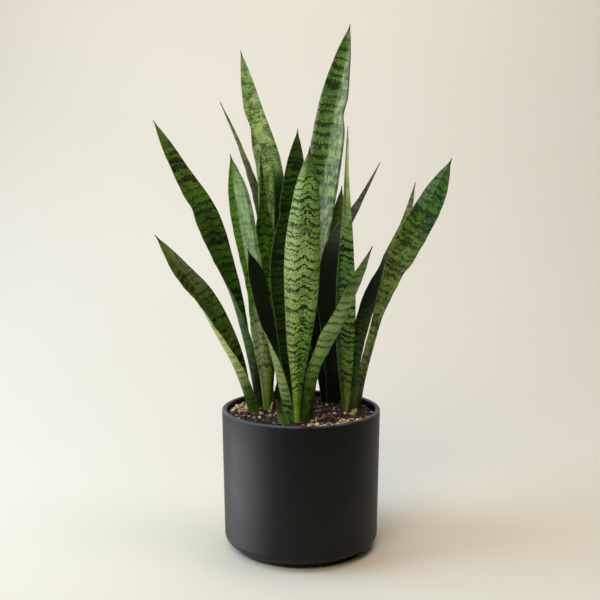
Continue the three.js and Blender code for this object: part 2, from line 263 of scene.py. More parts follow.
print("finishes ready")

# %% [markdown]
# ## The pot
# The real pot is one thick shell of matt charcoal ceramic: straight sides that widen a little, a lip
# rounded on both sides, and a foot set in so far that the pot seems to float. It could be spun from an
# outline. Here it is made as one would by hand: a cylinder is tapered, its lower edge is bevelled, the
# foot is an inset of the bottom pushed out, and the hollow an inset of the top pushed in.

# %% Shape the pot
POT_HEIGHT = 177
RIM_RADIUS = 100
BASE_RADIUS = 97.5
FOOT_RADIUS = 84
FOOT_HEIGHT = 8
LOWER_EDGE_ROUND = 9
FOOT_EDGE_ROUND = 0.8
WALL = 6
LIP_ROUND = 2.2
FLOOR = 12
FLOOR_ROUND = 8
POT_SIDES = 160
SHARPEST_SMOOTH = 35


def pick_faces(piece, wanted):
    """In edit mode, selects only the faces whose middle and normal pass the test."""
    mesh = bmesh.from_edit_mesh(piece.data)
    for face in mesh.faces:
        face.select = wanted(face.calc_center_median() / MM, face.normal)
    mesh.select_flush_mode()
    bmesh.update_edit_mesh(piece.data)


def pick_edges(piece, wanted):
    """In edit mode, selects only the edges whose two ends, in millimetres, pass the test."""
    mesh = bmesh.from_edit_mesh(piece.data)
    for edge in mesh.edges:
        edge.select = all(wanted(vertex.co / MM) for vertex in edge.verts)
    bmesh.update_edit_mesh(piece.data)


def ring_at(z, radius, slack=0.4):
    """A test for edges that lie on one circle round the upright axis."""
    return lambda point: abs(point.z - z) < slack and abs(math.hypot(point.x, point.y) - radius) < slack


body_height = POT_HEIGHT - FOOT_HEIGHT
bpy.ops.object.select_all(action="DESELECT")
bpy.ops.mesh.primitive_cylinder_add(
    vertices=POT_SIDES, radius=BASE_RADIUS * MM, depth=body_height * MM,
    location=(0, 0, (FOOT_HEIGHT + body_height / 2) * MM),
)
pot = bpy.context.object
place_in_mesh(pot, "pot_shell")
bpy.ops.object.mode_set(mode="EDIT")
bpy.ops.mesh.select_mode(type="FACE")
pick_faces(pot, lambda middle, normal: normal.z > 0.9)
widening = RIM_RADIUS / BASE_RADIUS
bpy.ops.transform.resize(value=(widening, widening, 1))
bpy.ops.mesh.inset(thickness=WALL * MM)
bpy.ops.mesh.extrude_region_move(TRANSFORM_OT_translate={"value": (0, 0, (FLOOR - POT_HEIGHT) * MM)})
narrowing = (BASE_RADIUS - WALL) / (RIM_RADIUS - WALL)
bpy.ops.transform.resize(value=(narrowing, narrowing, 1))
pick_faces(pot, lambda middle, normal: normal.z < -0.9)
bpy.ops.mesh.inset(thickness=(BASE_RADIUS - FOOT_RADIUS) * MM)
bpy.ops.mesh.extrude_region_move(TRANSFORM_OT_translate={"value": (0, 0, -FOOT_HEIGHT * MM)})
bpy.ops.mesh.select_mode(type="EDGE")
for ring, round_by, segments in [
    (ring_at(FOOT_HEIGHT, BASE_RADIUS), LOWER_EDGE_ROUND, 8),
    (ring_at(0, FOOT_RADIUS), FOOT_EDGE_ROUND, 2),
    (ring_at(FLOOR, BASE_RADIUS - WALL), FLOOR_ROUND, 5),
    (ring_at(POT_HEIGHT, RIM_RADIUS), LIP_ROUND, 5),
    (ring_at(POT_HEIGHT, RIM_RADIUS - WALL), LIP_ROUND, 5),
]:
    pick_edges(pot, ring)
    bpy.ops.mesh.bevel(offset=round_by * MM, segments=segments, profile=0.5)
bpy.ops.object.mode_set(mode="OBJECT")
select_only(pot)
bpy.ops.object.shade_smooth_by_angle(angle=math.radians(SHARPEST_SMOOTH))
hand_over(pot, "pot_charcoal", "pot")
print("pot:", [round(v / MM, 1) for v in pot.dimensions], "mm,", len(pot.data.polygons), "faces")

# %% [markdown]
# ## The pot's finish
# Matt charcoal glaze is nearly black, but never one flat colour: it is mottled softly, has pale specks and
# a very fine grain that breaks up its shine, and a thin pale line round the lip is a painted highlight.
# The grain and the faint rings from turning are bump, the mottling, the specks and the painted highlight
# are colour, and the roughness follows the mottling and the grain.

# %% Finish the pot
# Where the painted lip highlight begins and where it is full, in millimetres below the rim.
LIP_HIGHLIGHT_STARTS = 2.6
LIP_HIGHLIGHT_FULL = 0.4
glaze = Finish("charcoal_glaze")
x, y, z = glaze.position()
cloud = glaze.noise(x * 38, y * 38, z * 30, detail=3)
grain = glaze.noise(x * 1500, y * 1500, z * 1500, detail=2)
turning = glaze.noise(x * 3, y * 3, z * 420, detail=2)
speck = glaze.noise(x * 420, y * 420, z * 420, detail=1).rise(0.71, 0.8)
# Painted highlight: a thin pale line all round the lip, broken by noise, stands in for the glaze's shine.
lip = z.rise((POT_HEIGHT - LIP_HIGHLIGHT_STARTS) * MM, (POT_HEIGHT - LIP_HIGHLIGHT_FULL) * MM)
lip_highlight = lip * glaze.noise(x * 60, y * 60, z * 60, detail=3).rise(0.1, 0.6)
colour = glaze.mix(cloud.rise(0.3, 0.7), tone(9, 9, 10), tone(15, 15, 15))
colour = glaze.mix(speck * 0.35, colour, tone(84, 84, 82))
# The painted lip highlight is mixed into the colour here.
colour = glaze.mix(lip_highlight * 0.6, colour, tone(128, 130, 138))
rough = cloud * 0.12 + grain * 0.1 + 0.38
bump = grain * 0.5 + turning * 0.35 + cloud * 0.6
pot.data.materials.append(glaze.finish(colour, rough, bump, strength=0.25, distance=0.4 * MM))
glaze.shader.inputs["Specular IOR Level"].default_value = 0.25
print("glaze:", len(glaze.tree.nodes), "nodes")

# %% [markdown]
# ## A leaf is a folded, bent blade
# Each leaf grows from its own place as a thick, folded gutter, opens out flat, and ends in a dry point.
# A leaf could be bent by a Curve modifier, but its fold, its width and the way it faces all change from
# root to tip, each in its own way. So every leaf has a short list of places along its middle line, and
# a smooth curve is drawn through each list. The table is in millimetres and degrees: `spine` is the
# middle line, `width` is measured along the fold, `turn` says which way the leaf faces and `cup` how
# far it is folded. `wave` is the margins' waves (height, count, start), `dent` is a dent (place, side,
# depth), `rib` is the thickness of the middle, and `keel` sharpens the fold towards a V. Shoots and
# bracts share SHORT_CUP and end without the awl that the leaves have.

# %% The leaves
TALL_CUP = [150, 112, 78, 56, 44, 38, 40]
SHORT_CUP = [140, 110, 80, 60]
LEAVES = {
    "leaf_front": dict(
        spine=[(-5, -46, 143), (-5, -47, 203), (-3, -49, 262), (0, -52, 322),
               (2, -57, 381), (6, -63, 440), (10, -70, 499)],
        width=[10, 14, 31, 42, 43, 31], turn=[180], cup=[170, 150, 96, 62, 44, 40, 40],
        wave=(0.8, 2.5, 0.1), rib=5, keel=[0.8, 0.8, 0.7, 0.5, 0.3, 0.2], slot="leaf_pale",
    ),
    "leaf_tallest": dict(
        spine=[(7, 66, 143), (4, 70, 232), (6, 75, 322), (19, 81, 410),
               (33, 89, 498), (47, 99, 586), (66, 110, 672)],
        width=[20, 26, 36, 45, 46, 35], turn=[0, 0, 4],
        wave=(1.4, 2.5, 0.5), dent=(0.77, 1, 4.5), rib=5.5, slot="leaf_silver",
    ),
    "leaf_tall_left": dict(
        spine=[(-22, 56, 143), (-26, 60, 226), (-36, 64, 309), (-39, 69, 392),
               (-42, 76, 475), (-63, 85, 555), (-80, 95, 635)],
        width=[20, 26, 33, 37, 40, 27], turn=[20, 28, 15],
        wave=(1.6, 2.2, 0.3), dent=(0.79, -1, 5), rib=5.5, slot="leaf_pale",
    ),
    "leaf_far_left": dict(
        spine=[(-51, 38, 143), (-61, 39, 214), (-77, 42, 284), (-99, 47, 351),
               (-124, 53, 418), (-159, 61, 479), (-193, 70, 542)],
        width=[22, 28, 33, 34, 40, 25], turn=[125, 118, 84, 52, 42, 36, 32],
        cup=[150, 150, 140, 84, 50, 42, 40],
        wave=(2, 2, 0.2), dent=(0.7, -1, 4.5), rib=5, slot="leaf_dark",
    ),
    "leaf_low_left": dict(
        spine=[(-56, 10, 143), (-66, 9, 190), (-81, 5, 236), (-102, -3, 280),
               (-123.5, -13, 321), (-149, -25, 357), (-175, -40, 397)],
        width=[24, 36, 47, 49, 37, 20], turn=[120, 104, 89, 75, 57, 38, 30],
        cup=[150, 150, 145, 142, 105, 60, 40], keel=[0.0],
        wave=(1.6, 2, 0.7), dent=(0.56, -1, 3), rib=5, slot="leaf_dark",
    ),
    "leaf_thin_left": dict(
        spine=[(-46, 66, 143), (-48, 72, 217), (-47, 80, 290), (-49, 87, 363),
               (-58, 96, 436), (-81, 107, 506), (-110, 120, 571)],
        width=[18, 24, 32, 34, 30, 19], turn=[60, 68, 72],
        wave=(1, 2, 0), rib=4.5, slot="leaf_olive",
    ),
    "leaf_silver_left": dict(
        spine=[(-45, 14, 143), (-46, 14, 202), (-52, 14, 261), (-56.5, 13, 320),
               (-67.5, 12, 379), (-77, 11, 437), (-88, 10, 495)],
        width=[2, 22, 32, 32, 33, 29], turn=[60, 45, 35, 20],
        wave=(1, 2.5, 0.4), rib=5, slot="leaf_silver",
    ),
    "leaf_slim_left": dict(
        spine=[(-42, 40, 143), (-43, 41, 202), (-42, 42, 262), (-46, 42, 321),
               (-48, 41, 380), (-49, 41, 439), (-52, 40, 499)],
        width=[14, 17, 26, 32, 33, 9], turn=[20, 25, 30],
        wave=(1, 2, 0.6), rib=5, slot="leaf_mid",
    ),
    "leaf_broad_middle": dict(
        spine=[(-12, 34, 143), (-13, 35, 208), (-17, 36, 272), (-21, 38, 336),
               (-17, 40, 401), (-9, 42, 465), (-4, 45, 529)],
        width=[20, 26, 36, 44, 36, 29], turn=[10, 18, 15],
        wave=(1.2, 2.5, 0.9), dent=(0.7, -1, 3.5), rib=5.5, slot="leaf_dark",
    ),
    "leaf_short_front": dict(
        spine=[(-13, -42, 143), (-17, -44, 184), (-25, -47, 224), (-34, -52, 264),
               (-44, -58, 303), (-52, -66, 344), (-62, -75, 382)],
        width=[17, 20, 26, 33, 36, 28], turn=[144, 122, 84, 56, 42],
        cup=[150, 130, 130, 110, 60, 44, 40],
        wave=(1, 2, 0.3), rib=4.5, slot="leaf_dark",
    ),
    "leaf_low_right": dict(
        spine=[(7, -38, 143), (9, -37, 188), (16, -35, 231), (32, -45, 272),
               (51, -59, 310), (66, -75, 349), (81, -95, 386)],
        width=[21, 22, 22.5, 28, 28, 20], turn=[-150, -140, -130],
        wave=(1.4, 2.5, 0.2), dent=(0.42, 1, 2.5), rib=5, slot="leaf_olive",
    ),
    "leaf_pale_right": dict(
        spine=[(57, 4, 143), (57, 4, 207), (56, 3, 271), (56, 2, 335),
               (57, 0, 399), (56, -2, 463), (57, -5, 527)],
        width=[1, 18, 26, 25, 15, 6], turn=[-10, -5, 0],
        wave=(1, 2.5, 0.8), rib=5, slot="leaf_pale",
    ),
    "leaf_bent_right": dict(
        spine=[(42, 50, 143), (43, 51, 203), (43, 53, 262), (37.5, 54, 322),
               (45, 56, 381), (76, 58, 435), (103, 60, 487)],
        width=[18, 24, 35, 40, 29, 12], turn=[-20, -20, -45, -68],
        wave=(1, 2, 0.4), rib=5, slot="leaf_dark",
    ),
    "leaf_dark_right": dict(
        spine=[(54, 60, 143), (53, 66, 196), (50, 73, 248), (47, 79, 301),
               (47, 85, 353), (50, 90, 405), (55, 95, 458)],
        width=[16, 20, 27, 31, 29, 22], turn=[-20],
        wave=(1, 2, 0.1), rib=4.5, slot="leaf_dark",
    ),
    "leaf_far_right": dict(
        spine=[(68, 18, 143), (77, 16, 204), (91, 12, 263), (107, 7, 322),
               (130, 0, 377), (159, -9, 433), (182, -20, 488)],
        width=[20, 27, 29, 30, 41, 36], turn=[-88, -76, -46, -35],
        wave=(1.6, 2, 0.6), dent=(0.58, 1, 4), rib=5, slot="leaf_mid",
    ),
    "leaf_behind_right": dict(
        spine=[(69, 44, 143), (71, 46, 198), (77, 48, 253), (91, 49, 306),
               (113, 48, 356), (135, 46, 407), (147, 45, 461)],
        width=[18, 22, 28, 32, 27, 16], turn=[-70, -55, -55],
        wave=(1.2, 2, 0.2), dent=(0.63, -1, 2), rib=5, slot="leaf_dark",
    ),
    "leaf_back": dict(
        spine=[(33.5, 64, 143), (31.5, 61, 186), (28, 60, 229), (23, 60, 271),
               (21, 61, 313), (15, 62, 354), (7, 62, 396)],
        width=[13, 17, 28, 34, 32, 23], turn=[20],
        wave=(1, 2, 0.8), rib=5, slot="leaf_dark",
    ),
    "sprout_front": dict(
        spine=[(-17, -54, 146), (-20, -55, 163), (-24, -56, 181), (-30, -58, 200)],
        width=[20, 18, 12], turn=[160], cup=SHORT_CUP,
        rib=2.5, slot="leaf_dark",
    ),
    "sprout_left": dict(
        spine=[(-36, 16, 146), (-34, 17, 168), (-31, 18, 190), (-28, 19, 213)],
        width=[13, 13, 10], turn=[30], cup=SHORT_CUP,
        rib=2.5, slot="leaf_dark",
    ),
    "bract_left": dict(
        spine=[(-43, 2, 150), (-41, 1, 160), (-39, 0, 171), (-36, -1, 183)],
        width=[7, 6, 4], turn=[180], cup=SHORT_CUP,
        rib=1.6, slot="dry_bract",
    ),
    "bract_right": dict(
        spine=[(57, -11, 149), (60, -12, 158), (64, -13, 168), (70, -14, 178)],
        width=[15, 14, 10], turn=[180], cup=SHORT_CUP,
        rib=1.6, slot="dry_bract",
    ),
}
print("leaves and bracts:", len(LEAVES))

# %% [markdown]
# ## Smooth curves through a few values
# A Catmull-Rom curve passes through every value that it is given, which makes such a list easy to
# write: what stands in it is what the leaf gets at that place. It is read for all rows at once.

# %% Curves
TIP_WIDTH = 1.6
EDGE_THICKNESS = 0.9
TIP_THICKNESS = 1.2
THINNING = 0.6
DENT_LENGTH = 16
WAVES_SET_IN = (0.15, 0.45)
WAVES_DIE_OUT = (0.75, 1.0)
WAVE_OFFSET = 0.35
NEARBY = 0.001
SLIGHT_KEEL = [0.3]
AWL = (3.0, 18.0, 0.4)
SHOULDER = (36.0, 20.0, 0.1)


def smooth(values, places):
    """A smooth curve through evenly spread values, read at places from 0 to 1."""
    values = np.asarray(values, float)
    if len(values) == 1:
        return np.repeat(values, len(places), axis=0)
    spans = len(values) - 1
    padded = np.concatenate([[2 * values[0] - values[1]], values, [2 * values[-1] - values[-2]]])
    span = np.clip(np.floor(places * spans).astype(int), 0, spans - 1)
    t = places * spans - span
    if values.ndim == 2:
        t = t[:, None]
    a, b, c, d = (padded[span + step] for step in range(4))
    return b + 0.5 * t * (c - a + t * (2 * a - 5 * b + 4 * c - d + t * (3 * (b - c) + d - a)))


def step_between(values, low, high):
    share = np.clip((values - low) / (high - low), 0, 1)
    return share * share * (3 - 2 * share)


def unit(vectors):
    return vectors / np.linalg.norm(vectors, axis=1, keepdims=True)


def spine_length(leaf):
    return float(np.linalg.norm(np.diff(np.array(leaf["spine"], float), axis=0), axis=1).sum())


print("longest leaf:", round(max(spine_length(leaf) for leaf in LEAVES.values())), "mm")

# %% [markdown]
# ## Bend a flat grid into a leaf
# Modelling starts from a grid, like a strip of paper. Each row of its points is carried to its place on
# the leaf's line and curled round the line by the fold. The margins get their long waves, a few finer
# ripples, and the dents that real leaves have where a neighbour pressed on them. Solidify then gives
# the strip its thickness, thin at the margins and thick along the middle, and one level of
# Subdivision Surface rounds the margins. Each point also remembers where on the leaf it lies, so that
# the finish can follow the leaf wherever it bends.

# %% Leaf maker
COLUMNS = 10
ROW_LENGTH = 4.0
FEWEST_ROWS = 12
RIPPLES = [(0.35, 31.0), (0.2, 17.0)]
FURROW = 0.12


def tip_shape(from_tip):
    """A leaf ends in an awl a few millimetres long, above a shoulder that is fuller than a cone."""
    start, end, least = AWL
    middle, spread, more = SHOULDER
    narrow = least + (1 - least) * step_between(from_tip, start, end)
    return narrow * (1 + more * np.exp(-(((from_tip - middle) / spread) ** 2)))


def leaf_points(leaf, along, across, seed):
    """The middle surface of a leaf, its inward direction and its thickness, in millimetres."""
    s = along[:, 0]
    length = spine_length(leaf)
    place = smooth(leaf["spine"], s)
    ahead = unit(smooth(leaf["spine"], s + NEARBY) - smooth(leaf["spine"], s - NEARBY))
    turn = np.radians(smooth(leaf["turn"], s))
    facing = np.stack([np.sin(turn), -np.cos(turn), 0 * turn], axis=1)
    side = unit(np.cross(ahead, facing))
    inward = np.cross(side, ahead)
    arc = np.radians(smooth(leaf.get("cup", TALL_CUP), s))[:, None]
    width = smooth([*leaf["width"], TIP_WIDTH], s)[:, None]
    if leaf.get("cup") is not SHORT_CUP:
        width = width * tip_shape((1 - s) * length)[:, None]
    radius = width / arc
    sagitta = radius * (1 - np.cos(arc / 2))

    height, waves, start = leaf.get("wave", (0, 0, 0))
    fade = step_between(s, *WAVES_SET_IN) * (1 - step_between(s, *WAVES_DIE_OUT))
    phase = waves * along + start + np.where(across < 0, WAVE_OFFSET, 0)
    lift = height * fade[:, None] * across**2 * np.sin(2 * np.pi * phase)
    millimetres = along * length
    for size, pitch in RIPPLES:
        shift = seed * pitch * 0.37 + np.where(across < 0, 0.4 * pitch, 0)
        ripple = np.sin(2 * np.pi * (millimetres + shift) / pitch)
        lift = lift + size * fade[:, None] * across**4 * ripple
    lift = lift + FURROW * fade[:, None] * np.cos(9 * across + seed)

    dent_place, dent_side, dent_depth = leaf.get("dent", (0, 0, 0))
    dented = dent_depth * np.exp(-(((along - dent_place) * length / DENT_LENGTH) ** 2))
    drawn_in = np.where(across * dent_side > 0, dented, 0)
    out_to_edge = across * (1 - 2 * drawn_in / width)
    angle = out_to_edge * arc / 2
    out = radius - lift
    keel = smooth(leaf.get("keel", SLIGHT_KEEL), s)[:, None]
    flank = width / 2 * np.sin(arc / 4)
    sideways = (1 - keel) * out * np.sin(angle) + keel * out_to_edge * width / 2 * np.cos(arc / 4)
    deep = (1 - keel) * (radius - sagitta / 2 - out * np.cos(angle)) \
        + keel * ((np.abs(out_to_edge) - 0.5) * flank + lift)
    points = (
        place[:, None, :]
        + side[:, None, :] * sideways[:, :, None]
        + inward[:, None, :] * deep[:, :, None]
    )
    rib = leaf["rib"] + (TIP_THICKNESS - leaf["rib"]) * s[:, None] ** THINNING
    thickness = rib + (EDGE_THICKNESS - rib) * across**2
    return points, inward, thickness, width * across / 2, millimetres + 0 * across


def note(mesh, name, values):
    """Stores three numbers for each point of a mesh under a name."""
    layer = mesh.attributes.get(name) or mesh.attributes.new(name, "FLOAT_VECTOR", "POINT")
    layer.data.foreach_set("vector", np.asarray(values, np.float32).ravel())


def read_note(mesh, name):
    values = np.zeros(len(mesh.vertices) * 3, np.float32)
    mesh.attributes[name].data.foreach_get("vector", values)
    return values.reshape(-1, 3)


def make_leaf(name, leaf, seed):
    rows = max(FEWEST_ROWS, round(spine_length(leaf) / ROW_LENGTH))
    bpy.ops.object.select_all(action="DESELECT")
    bpy.ops.mesh.primitive_grid_add(x_subdivisions=COLUMNS, y_subdivisions=rows, size=2)
    blade = bpy.context.object
    mesh = blade.data
    flat = np.zeros(len(mesh.vertices) * 3, np.float32)
    mesh.vertices.foreach_get("co", flat)
    flat = flat.reshape(rows + 1, COLUMNS + 1, 3).astype(float)
    across, along = flat[:, :, 0], (flat[:, :, 1] + 1) / 2

    points, inward, thickness, from_middle, from_root = leaf_points(leaf, along, across, seed)
    mesh.vertices.foreach_set("co", (points * MM).astype(np.float32).ravel())
    note(mesh, "place", np.stack([across, along, 0 * along], axis=-1))
    note(mesh, "centimetres", np.stack([from_middle / 10, from_root / 10, 0 * along], axis=-1))
    group = blade.vertex_groups.new(name="thickness")
    thickest = float(thickness.max())
    for index, value in enumerate(thickness.ravel()):
        group.add([index], value / thickest, "REPLACE")
    mesh.update()

    count = len(mesh.vertices)
    apply_modifier(
        blade, "SOLIDIFY", thickness=thickest * MM, offset=0.0, use_rim=True, vertex_group="thickness",
    )
    placed = read_note(mesh, "place")
    corners = np.zeros(len(mesh.vertices) * 3, np.float32)
    mesh.vertices.foreach_get("co", corners)
    moved = corners.reshape(-1, 3)[:count] - (points * MM).reshape(-1, 3)
    towards_inside = (moved * np.repeat(inward, COLUMNS + 1, axis=0)).sum() > 0
    placed[:count, 2] = 1 if towards_inside else -1
    placed[count:, 2] = -placed[0, 2]
    note(mesh, "place", placed)
    apply_modifier(blade, "SUBSURF", levels=1, render_levels=1)
    blade.vertex_groups.clear()
    select_only(blade)
    bpy.ops.object.shade_smooth()
    place_in_mesh(blade, name + "_blade")
    hand_over(blade, leaf["slot"], name)
    return blade


blades = {name: make_leaf(name, leaf, seed) for seed, (name, leaf) in enumerate(LEAVES.items())}
print("leaf faces:", sum(len(blade.data.polygons) for blade in blades.values()))

# %% [markdown]
# ## The leaves' finish
# A snake plant's leaf is grey-green, crossed by rows of dark marks that come in groups. Each row runs
# over small scallops, rises to a peak near the leaf's middle, and frays into fine teeth. So the height
# on the leaf is first bent by these three, and then counted in rows: the whole part of the count is the
# row's number, which gives each row its own width, and the rest is the place within the row. `grouped`
# says how strongly the rows gather. Bands, fainter shade below them, fine lines, curls and grit are
# added up to one field, and a mark is where the field is high, so that all of them fray alike.
#
# The green below changes from `root` to `low`, `middle` and `high` up the leaf, with patches and dim
# clouds on it, and a leaf that shows its outer side gets the `outside` green there; where that green
# is paler, as on leaf_low_left and leaf_short_front, it is a painted highlight of the key lamp on the
# side that faces it. A strip is a lengthwise stripe of another tone: (side, where it starts, slope,
# softness, from, to, tone, share). Some strips are painted light and shade: a pale lit column, a
# shaded side and a shaded tip on leaf_front, and a shaded flank on leaf_tall_left.
# `silver` is the waxy bloom on one half together with a painted sheen, laid on the half that faces
# the key lamp, with blue and streaks in it: (side, start, slope, strength, from, to). `heart` is a dark
# streak low on the leaf, painted shade on the fold's side away from the lamp, mottled by noise: (where
# across it in centimetres, reach, share).
# Places along a leaf run from 0 at the root to 1 at the tip, and places across it from -1 to 1. The
# greens are a short list with names, and a short look for each leaf says which it has.

# %% Leaf finish
DRY_TIP = tone(70, 56, 42)
TIP_LENGTH = 1.4
SILVER = tone(192, 222, 178)
BLUE_SILVER = tone(104, 138, 142)
# Painted shade: the leaves' own dark green made darker still, for inner, back and shaded leaves and roots.
SHADED_DARK_GREEN = tone(8, 26, 8)
DEEP = tone(36, 72, 18)
GRASS = tone(62, 104, 32)
MOSS = tone(76, 100, 48)
MID = tone(96, 136, 56)
OLIVE = tone(108, 128, 58)
STRAW = tone(138, 148, 86)
BROWNED = tone(94, 88, 58)
GREY_GREEN = tone(116, 164, 88)
FRESH = tone(110, 172, 56)
YOUNG = tone(138, 200, 48)
PALE = tone(156, 196, 122)
PALEST = tone(192, 230, 156)
ROOT_BLEND = 0.16
TO_MIDDLE = (0.25, 0.55)
TO_HIGH = (0.6, 0.85)
STRIP_BLEND = 0.05
EDGE_BLEND = 0.04
FADED_BY_STRIP = 0.15
FADED_OUTSIDE = 0.55
SILVER_ENDS = (0.98, 0.88)
USUAL = dict(
    root=OLIVE, low=GRASS, middle=MID, high=MOSS, patch=tone(110, 128, 50), band=tone(8, 22, 4),
    sheen=SILVER, patches=0.4, cloudy=0.35, dark=1, pitch=0.8, grouped=0.85, fill=0.1, spread=0.16,
    lines=0.3, shade=0.6, teeth=0.14, broken=0.8, jagged=0.3, soft=0.25, curly=0.0,
    bare=(0.08, 0.2), plain_tip=(1.0, 0.93), arch=0.25, arch_at=0.0, smile=0.0, scallops=1.6,
    scallop=0.14, heart=(0.0, 0.4, 0.0), rootward=0.14, blue=0.7, gloss=0.15,
    silver=(1, 0.1, 0.0, 0.0, 0.15, 0.4), outside=(tone(130, 150, 90), 0.0, 0.07, 0.16),
    # left_edge is pale: a painted highlight on the margin that faces the key lamp.
    left_edge=(0.93, tone(150, 165, 110), 0.35), right_edge=(0.94, tone(34, 36, 16), 0.6),
    strips=[],
)


def cross_bands(leaf, look, x, y, along, own):
    """Where the dark marks are, from 0 to 1, and the height on the leaf, bent as their rows are."""
    pitch = look["pitch"]
    peak_at = (leaf.noise(y * 0.6, own, detail=1) - 0.5) * 0.8 + look["arch_at"]
    from_peak = (x - peak_at) * 1.7
    peak = (from_peak * from_peak * -1.0).to("EXPONENT")
    arch = peak * leaf.noise(y * 1.3, own + 1, detail=1) * (look["arch"] * 2) + x * x * look["smile"]
    wander = leaf.noise(x * 0.7, y * 0.8, own + 2, detail=1)
    scallop = abs((x * look["scallops"] * math.pi + wander * 9.0).sine()) * look["scallop"]
    jitter = (leaf.noise(x * 5, y * 2.5, own + 3, detail=3, roughness=0.6) - 0.5) * look["jagged"]
    height = y - arch - scallop + jitter + (wander - 0.5) * 0.6

    rows = height * (1 / pitch) + leaf.noise(height * (0.4 / pitch), own + 4, detail=1) * 2.1
    number = rows.to("FLOOR")
    inside = rows - number
    group = leaf.noise(number * 0.57, own + 5, detail=1).rise(0.4, 0.52)
    chance = leaf.noise(number * 1.37, own + 6, detail=1).rise(0.3, 0.7)
    uneven = leaf.noise(x * 1.1, y * 1.5, own + 7, detail=2).rise(0.25, 0.7)
    half = (chance * look["spread"] + look["fill"]) * (uneven * 1.1 + 0.25)
    half = half * (group * look["grouped"] + (1 - look["grouped"]))
    fringe = leaf.noise(x * 4.2, number * 3.1, own + 16, detail=2).rise(0.4, 0.7) * look["teeth"]
    bands = inside.rise(half + 0.56, half + 0.46) * (inside + fringe + half).rise(0.44, 0.56)
    hanging = inside.rise(0.0, 0.3) * inside.rise(0.65, 0.5) * (group * 0.6 + 0.4)
    shade = hanging * leaf.noise(x * 1.6, y * 1.2, own + 8, detail=2).rise(0.36, 0.6) * look["shade"]
    fine = leaf.noise(x * 0.4, height * (2.2 / pitch), own + 9, detail=2)
    lines = abs(fine - 0.5).rise(0.05, 0.01) * uneven * look["lines"]

    # heart is painted shade: a dark mottled streak low on the leaf, on the fold's side away from the key
    # lamp.
    heart_at, heart_reach, heart_share = look["heart"]
    off_heart = (x - heart_at) * (1 / heart_reach)
    heart = (off_heart * off_heart * -1.0).to("EXPONENT") * along.rise(0.66, 0.4) * heart_share
    grit = leaf.noise(x * 5, y * 6, own + 15, detail=3, roughness=0.7).rise(0.36, 0.64)
    curl = leaf.noise(x * 1.1 + wander * 2.0, y * 0.9, own + 19, detail=2)
    curls = abs(curl - 0.5).rise(0.06, 0.015) * (uneven * 0.9 + 0.25) + curl.rise(0.52, 0.6) * 0.6
    field = (bands + shade) * (1 - look["curly"]) + curls * look["curly"]
    field = field + lines + heart + (grit - 0.5) * look["broken"]
    marks = field.rise(0.5 - look["soft"], 0.5 + look["soft"]) * look["dark"]
    return marks * along.rise(*look["bare"]) * along.rise(*look["plain_tip"]), height


def green_below(leaf, look, x, y, across, along, face, own, marks):
    """The green between the marks, and the marks as the outer side and the strips fade them."""
    root_ends = look["rootward"]
    ground = leaf.mix(along.rise(root_ends, root_ends + ROOT_BLEND), look["root"], look["low"])
    ground = leaf.mix(along.rise(*TO_MIDDLE), ground, look["middle"])
    ground = leaf.mix(along.rise(*TO_HIGH), ground, look["high"])
    patches = leaf.noise(x * 0.9, y * 0.5, own + 11, detail=2)
    ground = leaf.mix(patches.rise(0.4, 0.65) * look["patches"], ground, look["patch"])
    cloud = leaf.noise(x * 0.45, y * 0.4, own + 20, detail=2)
    ground = leaf.mix(cloud.rise(0.56, 0.36) * look["cloudy"], ground, look["band"])
    # Where the outside tone is paler than the rest it is a painted highlight of the key lamp on that side.
    outer_tone, outer_share, low, high = look["outside"]
    outer = face.rise(0.1, -0.1) * along.rise(low, high) * outer_share
    marks = marks * (outer * -FADED_OUTSIDE + 1.0)
    ground = leaf.mix(outer, ground, outer_tone)
    # Strips: some of them are painted light and shade, as on leaf_front and leaf_tall_left.
    for sign, start, slope, soft, low, high, strip_tone, share in look["strips"]:
        edge = along * slope + start
        strip = (across * sign).rise(edge, edge + soft) * along.rise(low - STRIP_BLEND, low + STRIP_BLEND)
        strip = strip * along.rise(high + STRIP_BLEND, high - STRIP_BLEND) * (patches * 0.6 + 0.7).clamped()
        ground = leaf.mix(strip * share, ground, strip_tone)
        marks = marks * (strip * -FADED_BY_STRIP + 1.0)
    return ground, marks


def silver_bloom_and_sheen(leaf, look, x, y, across, along, own, height, streaks):
    """How silvery the leaf is, from 0 to 1, and the tone of the silver: waxy bloom with a painted sheen."""
    side, start, slope, strength, low, high = look["silver"]
    ragged = across * side + (streaks - 0.5) * 0.5
    edge = along * slope + start
    # Painted sheen: the silver lies on the half that faces the key lamp, along with the leaf's own bloom.
    silver = ragged.rise(edge, edge + 0.3) * along.rise(low, high) * along.rise(*SILVER_ENDS) * strength
    silver = silver * (streaks.rise(0.3, 0.55) * 0.7 + 0.3)
    blue = leaf.noise(x * 1.6, height * 0.9, own + 17, detail=2).rise(0.45, 0.6)
    blueness = (blue * look["blue"] + streaks.rise(0.55, 0.7) * 0.3).clamped()
    dashes = leaf.noise(x * 9, y * 1.1, own + 18, detail=3, roughness=0.7).rise(0.54, 0.62)
    return silver, leaf.mix(dashes * 0.45, leaf.mix(blueness, look["sheen"], BLUE_SILVER), look["low"])


